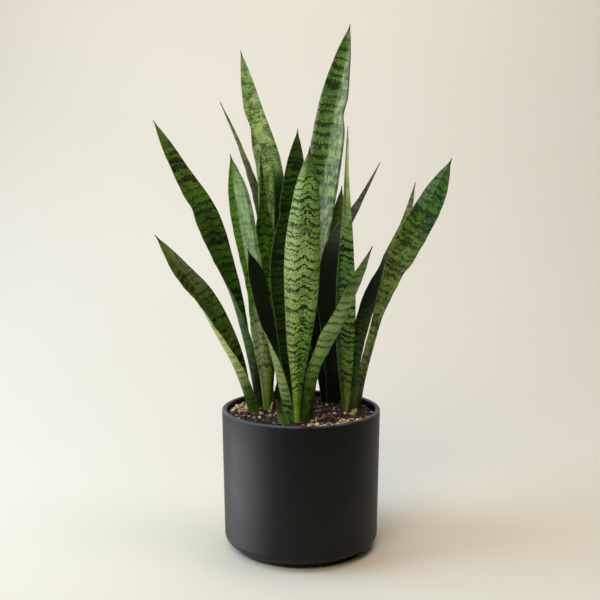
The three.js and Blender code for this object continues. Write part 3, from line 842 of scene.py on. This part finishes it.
def leaf_finish(name, look, seed):
    """The whole skin of a leaf: marks on green, silver over both, fibres, margins and a dry tip."""
    look = USUAL | look
    leaf = Finish(name + "_skin")
    across, along, face = leaf.attribute("place")
    x, y, _ = leaf.attribute("centimetres")
    own = seed * 7.3
    mottle = leaf.noise(x * 4.5, y * 3, own + 10, detail=4, roughness=0.65)
    streaks = leaf.noise(x * 8, y * 0.22, own + 12, detail=3, roughness=0.6)
    fibres = leaf.noise(x * 26, y * 0.6, own + 13, detail=2)

    marks, height = cross_bands(leaf, look, x, y, along, own)
    ground, marks = green_below(leaf, look, x, y, across, along, face, own, marks)
    ground = leaf.mix(mottle.rise(0.45, 0.75) * 0.3, ground, look["band"])
    colour = leaf.mix(marks, ground, look["band"])
    # The silver, partly a painted sheen, is laid over the marks and the green.
    silver, sheen = silver_bloom_and_sheen(leaf, look, x, y, across, along, own, height, streaks)
    colour = leaf.mix(silver * (marks * -0.4 + 1.0), colour, sheen)
    colour = leaf.mix(fibres.rise(0.5, 0.8) * 0.12, colour, look["patch"])
    # Thin margin lines; the pale one, on the side towards the key lamp, is a painted highlight.
    for sign, (start, edge_tone, share) in ((-1, look["left_edge"]), (1, look["right_edge"])):
        broken = (leaf.noise(y * 0.7, own + 14 + sign) * 1.4).clamped()
        edge = (across * sign).rise(start, start + EDGE_BLEND) * broken
        colour = leaf.mix(edge * share, colour, edge_tone)
    from_tip = (1.0 - along) * (spine_length(LEAVES[name]) / 10)
    colour = leaf.mix(from_tip.rise(TIP_LENGTH, 0.4 * TIP_LENGTH), colour, DRY_TIP)

    rough = mottle * 0.1 + marks * 0.06 + 0.36
    bump = fibres * 0.25 + streaks * 0.4 + mottle * 0.3 + marks * 0.06
    leaf.shader.inputs["Specular IOR Level"].default_value = look["gloss"]
    return leaf.finish(colour, rough, bump, strength=0.3, distance=0.5 * MM)


LOOKS = {
    "leaf_front": dict(
        root=YOUNG, low=FRESH, middle=PALE, high=GREY_GREEN, patch=tone(200, 212, 128),
        band=tone(16, 42, 6), patches=0.2, pitch=0.72, grouped=1.0, fill=0.07, spread=0.09,
        lines=0.2, shade=0.8, teeth=0.2, broken=1.15, jagged=0.6, soft=0.18, arch=0.75,
        # heart here is painted shade on the side of the fold away from the key lamp.
        arch_at=-0.3, smile=0.09, scallops=0.9, scallop=0.18, heart=(-0.2, 0.4, 0.42),
        # right_edge lies on the side towards the key lamp here; its pale tone is a painted highlight.
        left_edge=(0.95, tone(90, 110, 50), 0.5), right_edge=(0.95, tone(150, 170, 110), 0.5),
        strips=[
            # Painted shade: a darker strip on the side away from the key lamp.
            (-1, 0.5, 0.0, 0.3, 0.1, 1.0, tone(92, 124, 50), 0.5),
            # Painted highlight: a pale column on the side that faces the key lamp.
            (1, 0.15, 0.0, 0.4, 0.12, 1.0, tone(206, 238, 172), 0.6),
            # Painted shade: the tip darkened where it stands in the tallest leaf's shade.
            (1, -1.2, 0.0, 0.1, 0.93, 1.1, tone(62, 94, 44), 0.75),
        ],
    ),
    "leaf_tallest": dict(
        root=DEEP, low=DEEP, middle=GREY_GREEN, high=GREY_GREEN, patch=tone(96, 128, 58),
        band=tone(14, 36, 8), dark=0.9, pitch=1.3, spread=0.1, shade=0.9, teeth=0.2, broken=1.5,
        soft=0.4, arch=0.1, gloss=0.25, silver=(1, -0.9, 1.3, 1.0, 0.15, 0.4),
        right_edge=(0.84, tone(30, 48, 14), 0.85),
        strips=[(-1, 0.5, 0.4, 0.06, 0.3, 0.8, tone(160, 186, 150), 0.9)],
    ),
    "leaf_tall_left": dict(
        low=MID, middle=PALEST, high=PALEST, patch=tone(90, 124, 40), band=tone(30, 76, 40),
        patches=0.5, dark=0.8, shade=0.8, broken=0.5, soft=0.35, curly=0.85,
        # Painted shade: the lower flank's shaded side is painted near black.
        strips=[(1, 0.15, 0.0, 0.2, 0.0, 0.67, tone(16, 36, 8), 1.0)],
    ),
    "leaf_far_left": dict(
        root=SHADED_DARK_GREEN, middle=GRASS, high=MID, patch=tone(90, 108, 30), band=tone(10, 28, 4),
        pitch=1.1, spread=0.34, broken=1.2, jagged=0.5, soft=0.32, curly=0.4,
        plain_tip=(0.98, 0.86), outside=(tone(70, 104, 54), 0.65, 0.13, 0.26),
        left_edge=(0.8, tone(90, 100, 40), 0.5),
    ),
    "leaf_low_left": dict(
        root=GRASS, low=MID, high=OLIVE, patch=tone(84, 96, 34), band=tone(6, 16, 2), dark=0.98,
        pitch=1.1, fill=0.05, spread=0.3, broken=1.2, jagged=0.5, soft=0.4, curly=0.2,
        plain_tip=(1.0, 0.7), silver=(1, -0.2, 0.0, 0.2, 0.6, 0.75),
        # Painted highlight: the outer side gets a pale tone, as if lit by the key lamp.
        outside=(tone(186, 204, 124), 0.9, 0.2, 0.34),
    ),
    "leaf_thin_left": dict(
        low=MOSS, middle=DEEP, high=STRAW, patch=tone(60, 62, 30), dark=0.57, spread=0.3, soft=0.4,
    ),
    "leaf_silver_left": dict(
        root=YOUNG, low=PALE, middle=FRESH, high=FRESH, patch=tone(98, 142, 60),
        band=tone(14, 44, 20), sheen=tone(204, 252, 206), patches=0.1, cloudy=0.1, dark=0.95,
        fill=0.07, spread=0.12, lines=0.0, broken=0.7, soft=0.5, curly=0.5, bare=(0.12, 0.24),
        blue=0.3, gloss=0.4, silver=(1, -0.45, 0.0, 1.0, 0.35, 0.55),
        right_edge=(0.62, tone(50, 76, 22), 0.8),
        strips=[(-1, -0.4, 0.0, 0.3, 0.12, 0.4, tone(206, 230, 178), 0.9)],
    ),
    "leaf_slim_left": dict(
        root=MID, low=FRESH, middle=FRESH, high=GRASS, patch=tone(80, 120, 36), dark=0.92,
        fill=0.06, spread=0.2, broken=0.6, soft=0.4, curly=0.6,
    ),
    "leaf_broad_middle": dict(
        root=DEEP, low=DEEP, middle=DEEP, high=GRASS, patch=tone(66, 88, 34), dark=0.86, fill=0.14,
        # Painted highlight: the pale left margin, on the side towards the key lamp.
        spread=0.28, jagged=0.4, soft=0.4, left_edge=(0.94, tone(108, 140, 108), 0.55),
    ),
    "leaf_short_front": dict(
        root=GREY_GREEN, middle=SHADED_DARK_GREEN, high=SHADED_DARK_GREEN, patch=tone(26, 48, 18), patches=0.3, fill=0.12,
        # Painted highlight: the outer side gets a pale tone, as if lit by the key lamp.
        outside=(tone(152, 178, 106), 0.85, 0.14, 0.3),
    ),
    "leaf_low_right": dict(
        root=DEEP, low=FRESH, middle=PALE, high=MID, patch=tone(136, 152, 72),
        band=tone(28, 46, 10), dark=0.71, pitch=1.15, fill=0.06, broken=0.9, jagged=0.45, soft=0.35,
        arch=0.05, scallop=0.12, rootward=0.2,
    ),
    "leaf_pale_right": dict(
        low=MID, middle=GREY_GREEN, high=PALEST, band=tone(14, 32, 6), pitch=0.85, spread=0.2,
        lines=0.5, shade=0.8, broken=1.1, jagged=0.45, soft=0.35, plain_tip=(0.8, 0.6), arch=0.5,
        arch_at=-0.6,
        strips=[
            (-1, 0.2, 0.6, 0.15, 0.0, 0.6, tone(40, 62, 20), 0.7),
            (-1, 0.0, 0.0, 0.2, 0.7, 1.0, tone(104, 92, 66), 0.7),
        ],
    ),
    "leaf_bent_right": dict(
        root=SHADED_DARK_GREEN, low=SHADED_DARK_GREEN, middle=SHADED_DARK_GREEN, high=BROWNED, patch=tone(50, 50, 28), patches=0.15,
        dark=0.57, fill=0.15, soft=0.4,
    ),
    "leaf_dark_right": dict(
        root=SHADED_DARK_GREEN, low=SHADED_DARK_GREEN, middle=SHADED_DARK_GREEN, patches=0.1, dark=0.4, gloss=0.05,
    ),
    "leaf_far_right": dict(
        root=MOSS, low=STRAW, middle=OLIVE, high=GRASS, patch=tone(110, 126, 56), dark=0.83,
        pitch=0.9, spread=0.2, lines=0.4, broken=0.5, soft=0.35, curly=0.55, plain_tip=(1.0, 0.9),
        smile=0.12, gloss=0.05,
        strips=[
            (1, -0.6, 1.9, 0.1, 0.4, 0.75, tone(112, 128, 64), 0.5),
            (-1, 0.1, 0.0, 0.2, 0.82, 1.0, tone(120, 150, 112), 0.6),
        ],
    ),
    "leaf_behind_right": dict(
        low=OLIVE, middle=SHADED_DARK_GREEN, high=STRAW, patch=tone(30, 40, 14), patches=0.2, dark=0.63,
        fill=0.15, soft=0.4,
    ),
    "leaf_back": dict(
        root=SHADED_DARK_GREEN, low=SHADED_DARK_GREEN, middle=SHADED_DARK_GREEN, high=DEEP, patches=0.1, gloss=0.05,
    ),
    "sprout_front": dict(
        root=GREY_GREEN, low=GREY_GREEN, high=DEEP, pitch=0.5, bare=(0.6, 0.9),
        left_edge=(0.8, tone(160, 186, 128), 0.9), right_edge=(0.8, tone(160, 186, 128), 0.9),
    ),
    "sprout_left": dict(
        root=GRASS, middle=DEEP, high=DEEP, pitch=0.5,
    ),
}
for seed, (name, blade) in enumerate(blades.items()):
    if name in LOOKS:
        blade.data.materials.append(leaf_finish(name, LOOKS[name], seed))
print("leaf finishes:", len(LOOKS))

# %% [markdown]
# ## Dry bracts
# Old sheaths at the foot of the plant dry to yellowish paper. They are short leaves of the same make,
# and their finish is straw with fine lengthwise fibres and brown blotches.

# %% Finish the bracts
def bract_finish(name, seed):
    bract = Finish(name + "_skin")
    _, along, _ = bract.attribute("place")
    x, y, _ = bract.attribute("centimetres")
    fibres = bract.noise(x * 22, y * 1.2, seed, detail=3)
    blotch = bract.noise(x * 2, y * 2, seed + 0.5, detail=3)
    colour = bract.mix(along.rise(0.3, 0.9), tone(132, 142, 56), tone(204, 200, 130))
    colour = bract.mix(fibres.rise(0.4, 0.7) * 0.5, colour, tone(120, 96, 44))
    colour = bract.mix(blotch.rise(0.5, 0.7) * 0.5, colour, tone(96, 80, 40))
    return bract.finish(colour, fibres * 0.2 + 0.55, fibres, strength=0.5, distance=0.4 * MM)


for seed, name in enumerate(name for name in blades if name not in LOOKS):
    blades[name].data.materials.append(bract_finish(name, seed))
print("bracts finished")

# %% [markdown]
# ## The potting mix
# The soil is one body that fills the pot. A cylinder of its size gets rings on its top by insetting the
# top face again and again, and two Displace modifiers with cloudy textures raise lumps and grit there.

# %% Shape the soil
SOIL_LEVEL = 167.0
SOIL_RADIUS = 93.2
SOIL_BOTTOM = 12.4
RING_STEP = 2.4
SOIL_SIDES = 160
CALM_EDGE = 0.5
LUMPS = [(9.0, 4.0), (3.4, 2.4)]

bpy.ops.object.select_all(action="DESELECT")
bpy.ops.mesh.primitive_cylinder_add(
    vertices=SOIL_SIDES, radius=SOIL_RADIUS * MM, depth=(SOIL_LEVEL - SOIL_BOTTOM) * MM,
    location=(0, 0, (SOIL_LEVEL + SOIL_BOTTOM) / 2 * MM),
)
soil = bpy.context.object
place_in_mesh(soil, "potting_mix")
bpy.ops.object.mode_set(mode="EDIT")
bpy.ops.mesh.select_mode(type="FACE")
pick_faces(soil, lambda middle, normal: normal.z < -0.9)
taper = (BASE_RADIUS - WALL - FLOOR_ROUND) / SOIL_RADIUS
bpy.ops.transform.resize(value=(taper, taper, 1))
pick_faces(soil, lambda middle, normal: normal.z > 0.9)
for ring in range(int(SOIL_RADIUS / RING_STEP) - 1):
    bpy.ops.mesh.inset(thickness=RING_STEP * MM)
bpy.ops.mesh.poke()
bpy.ops.object.mode_set(mode="OBJECT")
top = soil.vertex_groups.new(name="top")
calm_from = (SOIL_RADIUS - CALM_EDGE) * MM
loose = [v.index for v in soil.data.vertices
         if v.co.z > (SOIL_LEVEL - 1) * MM and v.co.xy.length < calm_from]
top.add(loose, 1.0, "REPLACE")
for size, rise in LUMPS:
    clouds = bpy.data.textures.new("lumps", "CLOUDS")
    clouds.noise_scale = size * MM
    clouds.noise_depth = 1
    apply_modifier(
        soil, "DISPLACE", texture=clouds, strength=rise * MM, mid_level=0.5,
        direction="Z", texture_coords="LOCAL", vertex_group="top",
    )
select_only(soil)
bpy.ops.object.shade_smooth_by_angle(angle=math.radians(60))
hand_over(soil, "potting_soil", "soil")
print("soil top:", round(max(v.co.z for v in soil.data.vertices) / MM, 1), "mm")

# %% [markdown]
# ## Pebbles, crumbs and bark
# One pebble is a cube, subdivided once, rounded and squeezed; one crumb is less round, and one chip of
# bark is long and flat. A few of each kind are made. Hundreds of copies are then turned, sized and
# written into one mesh, each a little sunk into what lies below it, and every copy keeps three random
# numbers. The finish takes its shade from the first and its dust from the second.

# %% One grain, and how grains are scattered
# The rows of a honeycomb lie this share of the pitch apart.
ROW_SHARE = 0.866


def make_grains(count, size, roundness, rough, random):
    """A few grains, as points and faces about the origin, one unit wide before they are sized."""
    grains = []
    for number in range(count):
        bpy.ops.object.select_all(action="DESELECT")
        bpy.ops.mesh.primitive_cube_add(size=1)
        grain = bpy.context.object
        bpy.ops.object.mode_set(mode="EDIT")
        bpy.ops.mesh.select_all(action="SELECT")
        bpy.ops.mesh.subdivide(number_cuts=1)
        bpy.ops.transform.tosphere(value=roundness)
        bpy.ops.transform.resize(value=size)
        bpy.ops.transform.vertex_random(offset=rough, uniform=1.0, seed=number + random.integers(99))
        bpy.ops.object.mode_set(mode="OBJECT")
        points = np.array([vertex.co[:] for vertex in grain.data.vertices])
        faces = np.array([face.vertices[:] for face in grain.data.polygons])
        grains.append((points, faces))
        bpy.data.objects.remove(grain)
    return grains


def turned(points, angle, axis):
    """Points turned about the x or z axis."""
    c, s = np.cos(angle), np.sin(angle)
    about = {"x": [[1, 0, 0], [0, c, s], [0, -s, c]], "z": [[c, s, 0], [-s, c, 0], [0, 0, 1]]}
    return points @ np.array(about[axis])


def scatter(name, grains, places, random, smooth_shaded=True):
    """Writes a turned copy of a grain at each (x, y, z, size, tilt) into one mesh, in millimetres."""
    all_points, all_faces, shades, start = [], [], [], 0
    for x, y, z, size, tilt in places:
        points, faces = grains[random.integers(len(grains))]
        points = turned(points, random.uniform(0, 2 * np.pi), "z")
        points = turned(points, random.uniform(-tilt, tilt), "x")
        points = turned(points, random.uniform(0, np.pi), "z")
        all_points.append((points * size + (x, y, z)) * MM)
        all_faces.append(faces + start)
        start += len(points)
        shades.append(np.tile(random.uniform(0, 1, 3), (len(points), 1)))
    mesh = bpy.data.meshes.new(name)
    mesh.from_pydata(np.concatenate(all_points).tolist(), [], np.concatenate(all_faces).tolist())
    note(mesh, "shade", np.concatenate(shades))
    mesh.update()
    piece = bpy.data.objects.new(name, mesh)
    scene.collection.objects.link(piece)
    if smooth_shaded:
        select_only(piece)
        bpy.ops.object.shade_smooth()
    return piece


def comb(pitch, stray, random):
    """Places on a honeycomb over the whole pot, each out of place by up to the stray."""
    rows = int(RIM_RADIUS / (pitch * ROW_SHARE)) + 1
    for row in range(-rows, rows + 1):
        for column in range(-rows, rows + 1):
            x = pitch * (column + 0.5 * (row % 2)) + random.uniform(-stray, stray)
            y = pitch * ROW_SHARE * row + random.uniform(-stray, stray)
            yield x, y


def in_patch(x, y, patch, reach):
    """Within a patch's two angles, outside its inner radius and inside the reach."""
    start, end, inner = patch
    angle = math.degrees(math.atan2(y, x))
    return start <= angle <= end and inner <= math.hypot(x, y) <= reach


random = np.random.default_rng(11)
pebbles = make_grains(5, (1.0, 0.82, 0.7), 0.9, 0.07, random)
crumbs = make_grains(5, (1.0, 0.85, 0.75), 0.55, 0.14, random)
chips = make_grains(4, (1.5, 0.8, 0.4), 0.25, 0.16, random)
print("grains:", len(pebbles) + len(crumbs) + len(chips))

# %% [markdown]
# ## Scatter them
# The pale pebbles lie in two patches, two layers deep, the upper one sparser. A patch is two angles in
# degrees and an inner radius. Crumbs cover the rest of the soil close by, with chips of bark among
# them, most of them at the right.

# %% Pebbles, crumbs and bark
PATCHES = {"gravel_front": (-83, -26, 66), "gravel_left": (126, 178, 64)}
PEBBLE = 4.7
CRUMB = 3.4
CRUMB_STRAY = 1.2
CRUMB_MARGIN = 1.5
BARK_PITCH = 8.0
BARK_STRAY = 3.5
BARK_MARGIN = 5
BARK_SIZES = (3.5, 6.5)
BARK_RIGHT_FROM = 40
BARK_AT_RIGHT = 0.85
BARK_ELSEWHERE = 0.35


def pebble_places(patch, pitch, level, size):
    for x, y in comb(pitch, 0.22 * pitch, random):
        if in_patch(x, y, patch, SOIL_RADIUS - 0.5 * size):
            yield x, y, level + random.uniform(-0.8, 0.8), size * random.uniform(0.75, 1.15), 0.6


for name, patch in PATCHES.items():
    below = list(pebble_places(patch, PEBBLE, SOIL_LEVEL + 1.0, PEBBLE))
    above = list(pebble_places(patch, PEBBLE * 1.8, SOIL_LEVEL + 3.4, PEBBLE))
    gravel = scatter(name + "_pebbles", pebbles, below + above, random)
    hand_over(gravel, "pale_gravel", name)
    print(name, len(below) + len(above), "pebbles")


def in_any_patch(x, y):
    return any(in_patch(x, y, patch, RIM_RADIUS) for patch in PATCHES.values())


def crumb_places():
    for x, y in comb(CRUMB, CRUMB_STRAY, random):
        if math.hypot(x, y) < SOIL_RADIUS - CRUMB_MARGIN and not in_any_patch(x, y):
            yield x, y, SOIL_LEVEL + random.uniform(0.2, 2.0), CRUMB * random.uniform(0.55, 1.25), 1.5


def bark_places():
    for x, y in comb(BARK_PITCH, BARK_STRAY, random):
        share = BARK_AT_RIGHT if x > BARK_RIGHT_FROM else BARK_ELSEWHERE
        inside = math.hypot(x, y) < SOIL_RADIUS - BARK_MARGIN
        if inside and random.uniform() < share and not in_any_patch(x, y):
            yield x, y, SOIL_LEVEL + random.uniform(1.2, 2.6), random.uniform(*BARK_SIZES), 0.5


crumb_list = list(crumb_places())
soil_crumbs = scatter("soil_crumbs", crumbs, crumb_list, random, smooth_shaded=False)
hand_over(soil_crumbs, "potting_soil")
bark_list = list(bark_places())
bark = scatter("bark_chips", chips, bark_list, random, smooth_shaded=False)
hand_over(bark, "potting_soil")
print(len(crumb_list), "crumbs,", len(bark_list), "chips")

# %% [markdown]
# ## Finishes for soil, bark and pebbles
# All three read each copy's random numbers for its shade and dust, and their own position for speckle.
# Near the bottom of the layer they are painted darker, a painted shade for the gaps between grains. The
# pebbles run from cream to tan and pinkish brown, as river gravel does.

# %% Finish the ground
def grain_finish(name, colours, roughness, low_shade, low_shade_level, dirt=0.3):
    """Each copy takes a shade between the colours by its own random numbers, and is painted darker low
    down.
    """
    grain = Finish(name)
    shade, light, _ = grain.attribute("shade")
    x, y, z = grain.position()
    speckle = grain.noise(x * 900, y * 900, z * 900, detail=3)
    colour = colours[0]
    steps = len(colours) - 1
    for step, above in enumerate(colours[1:]):
        colour = grain.mix(shade.rise(step / steps, (step + 1) / steps), colour, above)
    colour = grain.mix(light * dirt, colour, tone(30, 20, 14))
    colour = grain.mix(speckle.rise(0.45, 0.75) * 0.3, colour, tone(20, 14, 10))
    # Painted shade: grains are darkened towards the bottom of their layer, where they lie in each other's
    # shade.
    low, high = low_shade_level
    colour = grain.mix(z.rise(high * MM, low * MM), colour, low_shade)
    return grain.finish(colour, roughness, speckle, strength=0.5, distance=0.3 * MM)


# The colour of the painted shade low in the layers.
LOW_SHADE_TONE = tone(12, 8, 6)
gravel_skin = grain_finish(
    "river_gravel",
    [tone(246, 228, 198), tone(228, 198, 160), tone(196, 156, 126), tone(150, 114, 98)],
    0.6, LOW_SHADE_TONE, (SOIL_LEVEL + 1.8, SOIL_LEVEL + 4.6), dirt=0.12,
)
for name in PATCHES:
    bpy.data.objects[name + "_pebbles"].data.materials.append(gravel_skin)
soil_crumbs.data.materials.append(grain_finish(
    "soil_crumb",
    [tone(8, 5, 4), tone(13, 8, 6), tone(34, 20, 15), tone(60, 34, 26), tone(104, 66, 52),
     tone(232, 202, 178)],
    0.75, LOW_SHADE_TONE, (SOIL_LEVEL + 0.4, SOIL_LEVEL + 1.6),
))
bark.data.materials.append(grain_finish(
    "bark", [tone(20, 13, 10), tone(38, 24, 18), tone(84, 56, 42)], 0.7,
    LOW_SHADE_TONE, (SOIL_LEVEL + 0.6, SOIL_LEVEL + 2.0),
))
ground = Finish("potting_mix_skin")
x, y, z = ground.position()
lump = ground.noise(x * 220, y * 220, z * 220, detail=4, roughness=0.7)
fleck = ground.noise(x * 600, y * 600, z * 600, detail=1)
colour = ground.mix(lump.rise(0.35, 0.7), tone(10, 7, 5), tone(28, 19, 14))
colour = ground.mix(fleck.rise(0.68, 0.76) * 0.5, colour, tone(110, 84, 64))
soil.data.materials.append(ground.finish(colour, lump * 0.2 + 0.7, lump, strength=0.8, distance=MM))
print("ground finished")

# %% [markdown]
# ## The studio
# The plant stands on seamless pale paper that curves up behind it, so no line shows where floor ends
# and wall begins. A large soft lamp, the key, stands at the left and lays the sheen on the leaves. A
# warmer one in front passes the pot by, because a matt black pot turns grey in it, and one from above
# lights the backdrop. The pot's soft edge at the left is from a fourth lamp that lights only the pot.
# It hangs lower than the floor, and light linking lets it shine through the paper, which no lamp in a
# real studio can do. Nothing fills in from the right, so that side falls into shade. The camera sees
# the sky bright, and the plant is lit by very little of it.

# %% Floor, wall and lights
PAPER_FRONT = -2400
PAPER_FLAT_TO = 350
PAPER_BEND = 1650
PAPER_TOP = 3200
PAPER_HALF_WIDTH = 3000
BEND_STEPS = 32


def paper_profile():
    """The paper's section along y: flat, round, then upright."""
    points = [(PAPER_FRONT, 0), (PAPER_FLAT_TO, 0)]
    for step in range(1, BEND_STEPS + 1):
        angle = math.radians(90 * step / BEND_STEPS)
        points.append((PAPER_FLAT_TO + PAPER_BEND * math.sin(angle), PAPER_BEND * (1 - math.cos(angle))))
    return points + [(PAPER_FLAT_TO + PAPER_BEND, PAPER_TOP)]


profile = paper_profile()
paper_mesh = bpy.data.meshes.new("paper")
paper_mesh.from_pydata(
    [(side * PAPER_HALF_WIDTH * MM, y * MM, z * MM) for y, z in profile for side in (-1, 1)], [],
    [(2 * i, 2 * i + 1, 2 * i + 3, 2 * i + 2) for i in range(len(profile) - 1)],
)
paper = bpy.data.objects.new("paper", paper_mesh)
scene.collection.objects.link(paper)
select_only(paper)
bpy.ops.object.shade_smooth()
sheet = Finish("paper")
x, y, z = sheet.position()
paper.data.materials.append(sheet.finish(
    sheet.mix(sheet.noise(x * 2, y * 2, z * 2), tone(238, 236, 224), tone(242, 240, 230)), 0.8,
))


AMBIENT = 0.025
SEEN = 0.85
SKY = (1.0, 0.95, 0.84)


def add_light(name, place, aim, width, height, watts, colour):
    """An area lamp that looks at aim."""
    lamp_data = bpy.data.lights.new(name, "AREA")
    lamp_data.shape = "RECTANGLE"
    lamp_data.size = width * MM
    lamp_data.size_y = height * MM
    lamp_data.energy = watts
    lamp_data.color = colour
    lamp = bpy.data.objects.new(name, lamp_data)
    lamp.location = Vector(place) * MM
    lamp.rotation_euler = (Vector(aim) * MM - lamp.location).to_track_quat("-Z", "Y").to_euler()
    scene.collection.objects.link(lamp)
    return lamp


def flag(name, piece, state):
    """A group with one piece, which a lamp lights or shades with alone, or passes by."""
    group = bpy.data.collections.new(name)
    group.objects.link(piece)
    group.collection_objects[0].light_linking.link_state = state
    return group


add_light("key", (-1560, -150, 1150), (0, 0, 300), 1300, 1300, 23, (0.53, 0.78, 1.0))
add_light("backdrop", (0, 200, 2700), (0, 1500, 500), 2600, 1200, 40, (1.0, 0.92, 0.92))
front = add_light("front", (-700, -1820, 1950), (0, 500, 380), 1500, 1200, 30, (1.0, 0.8, 0.5))
front.light_linking.receiver_collection = flag("all_but_the_pot", pot, "EXCLUDE")
edge = add_light("edge", (-1050, -80, -230), (0, 0, 80), 1200, 400, 8.6, (0.95, 0.95, 1.0))
edge.light_linking.receiver_collection = flag("only_the_pot", pot, "INCLUDE")
edge.light_linking.blocker_collection = flag("all_but_the_paper", paper, "EXCLUDE")

world = bpy.data.worlds.new("studio")
scene.world = world
world.use_nodes = True
sky = world.node_tree
background = sky.nodes["Background"]
rays = sky.nodes.new("ShaderNodeLightPath")
strength = sky.nodes.new("ShaderNodeMapRange")
strength.inputs["To Min"].default_value = AMBIENT
strength.inputs["To Max"].default_value = SEEN
sky.links.new(rays.outputs["Is Camera Ray"], strength.inputs[0])
sky.links.new(strength.outputs[0], background.inputs["Strength"])
background.inputs["Color"].default_value = (*SKY, 1)
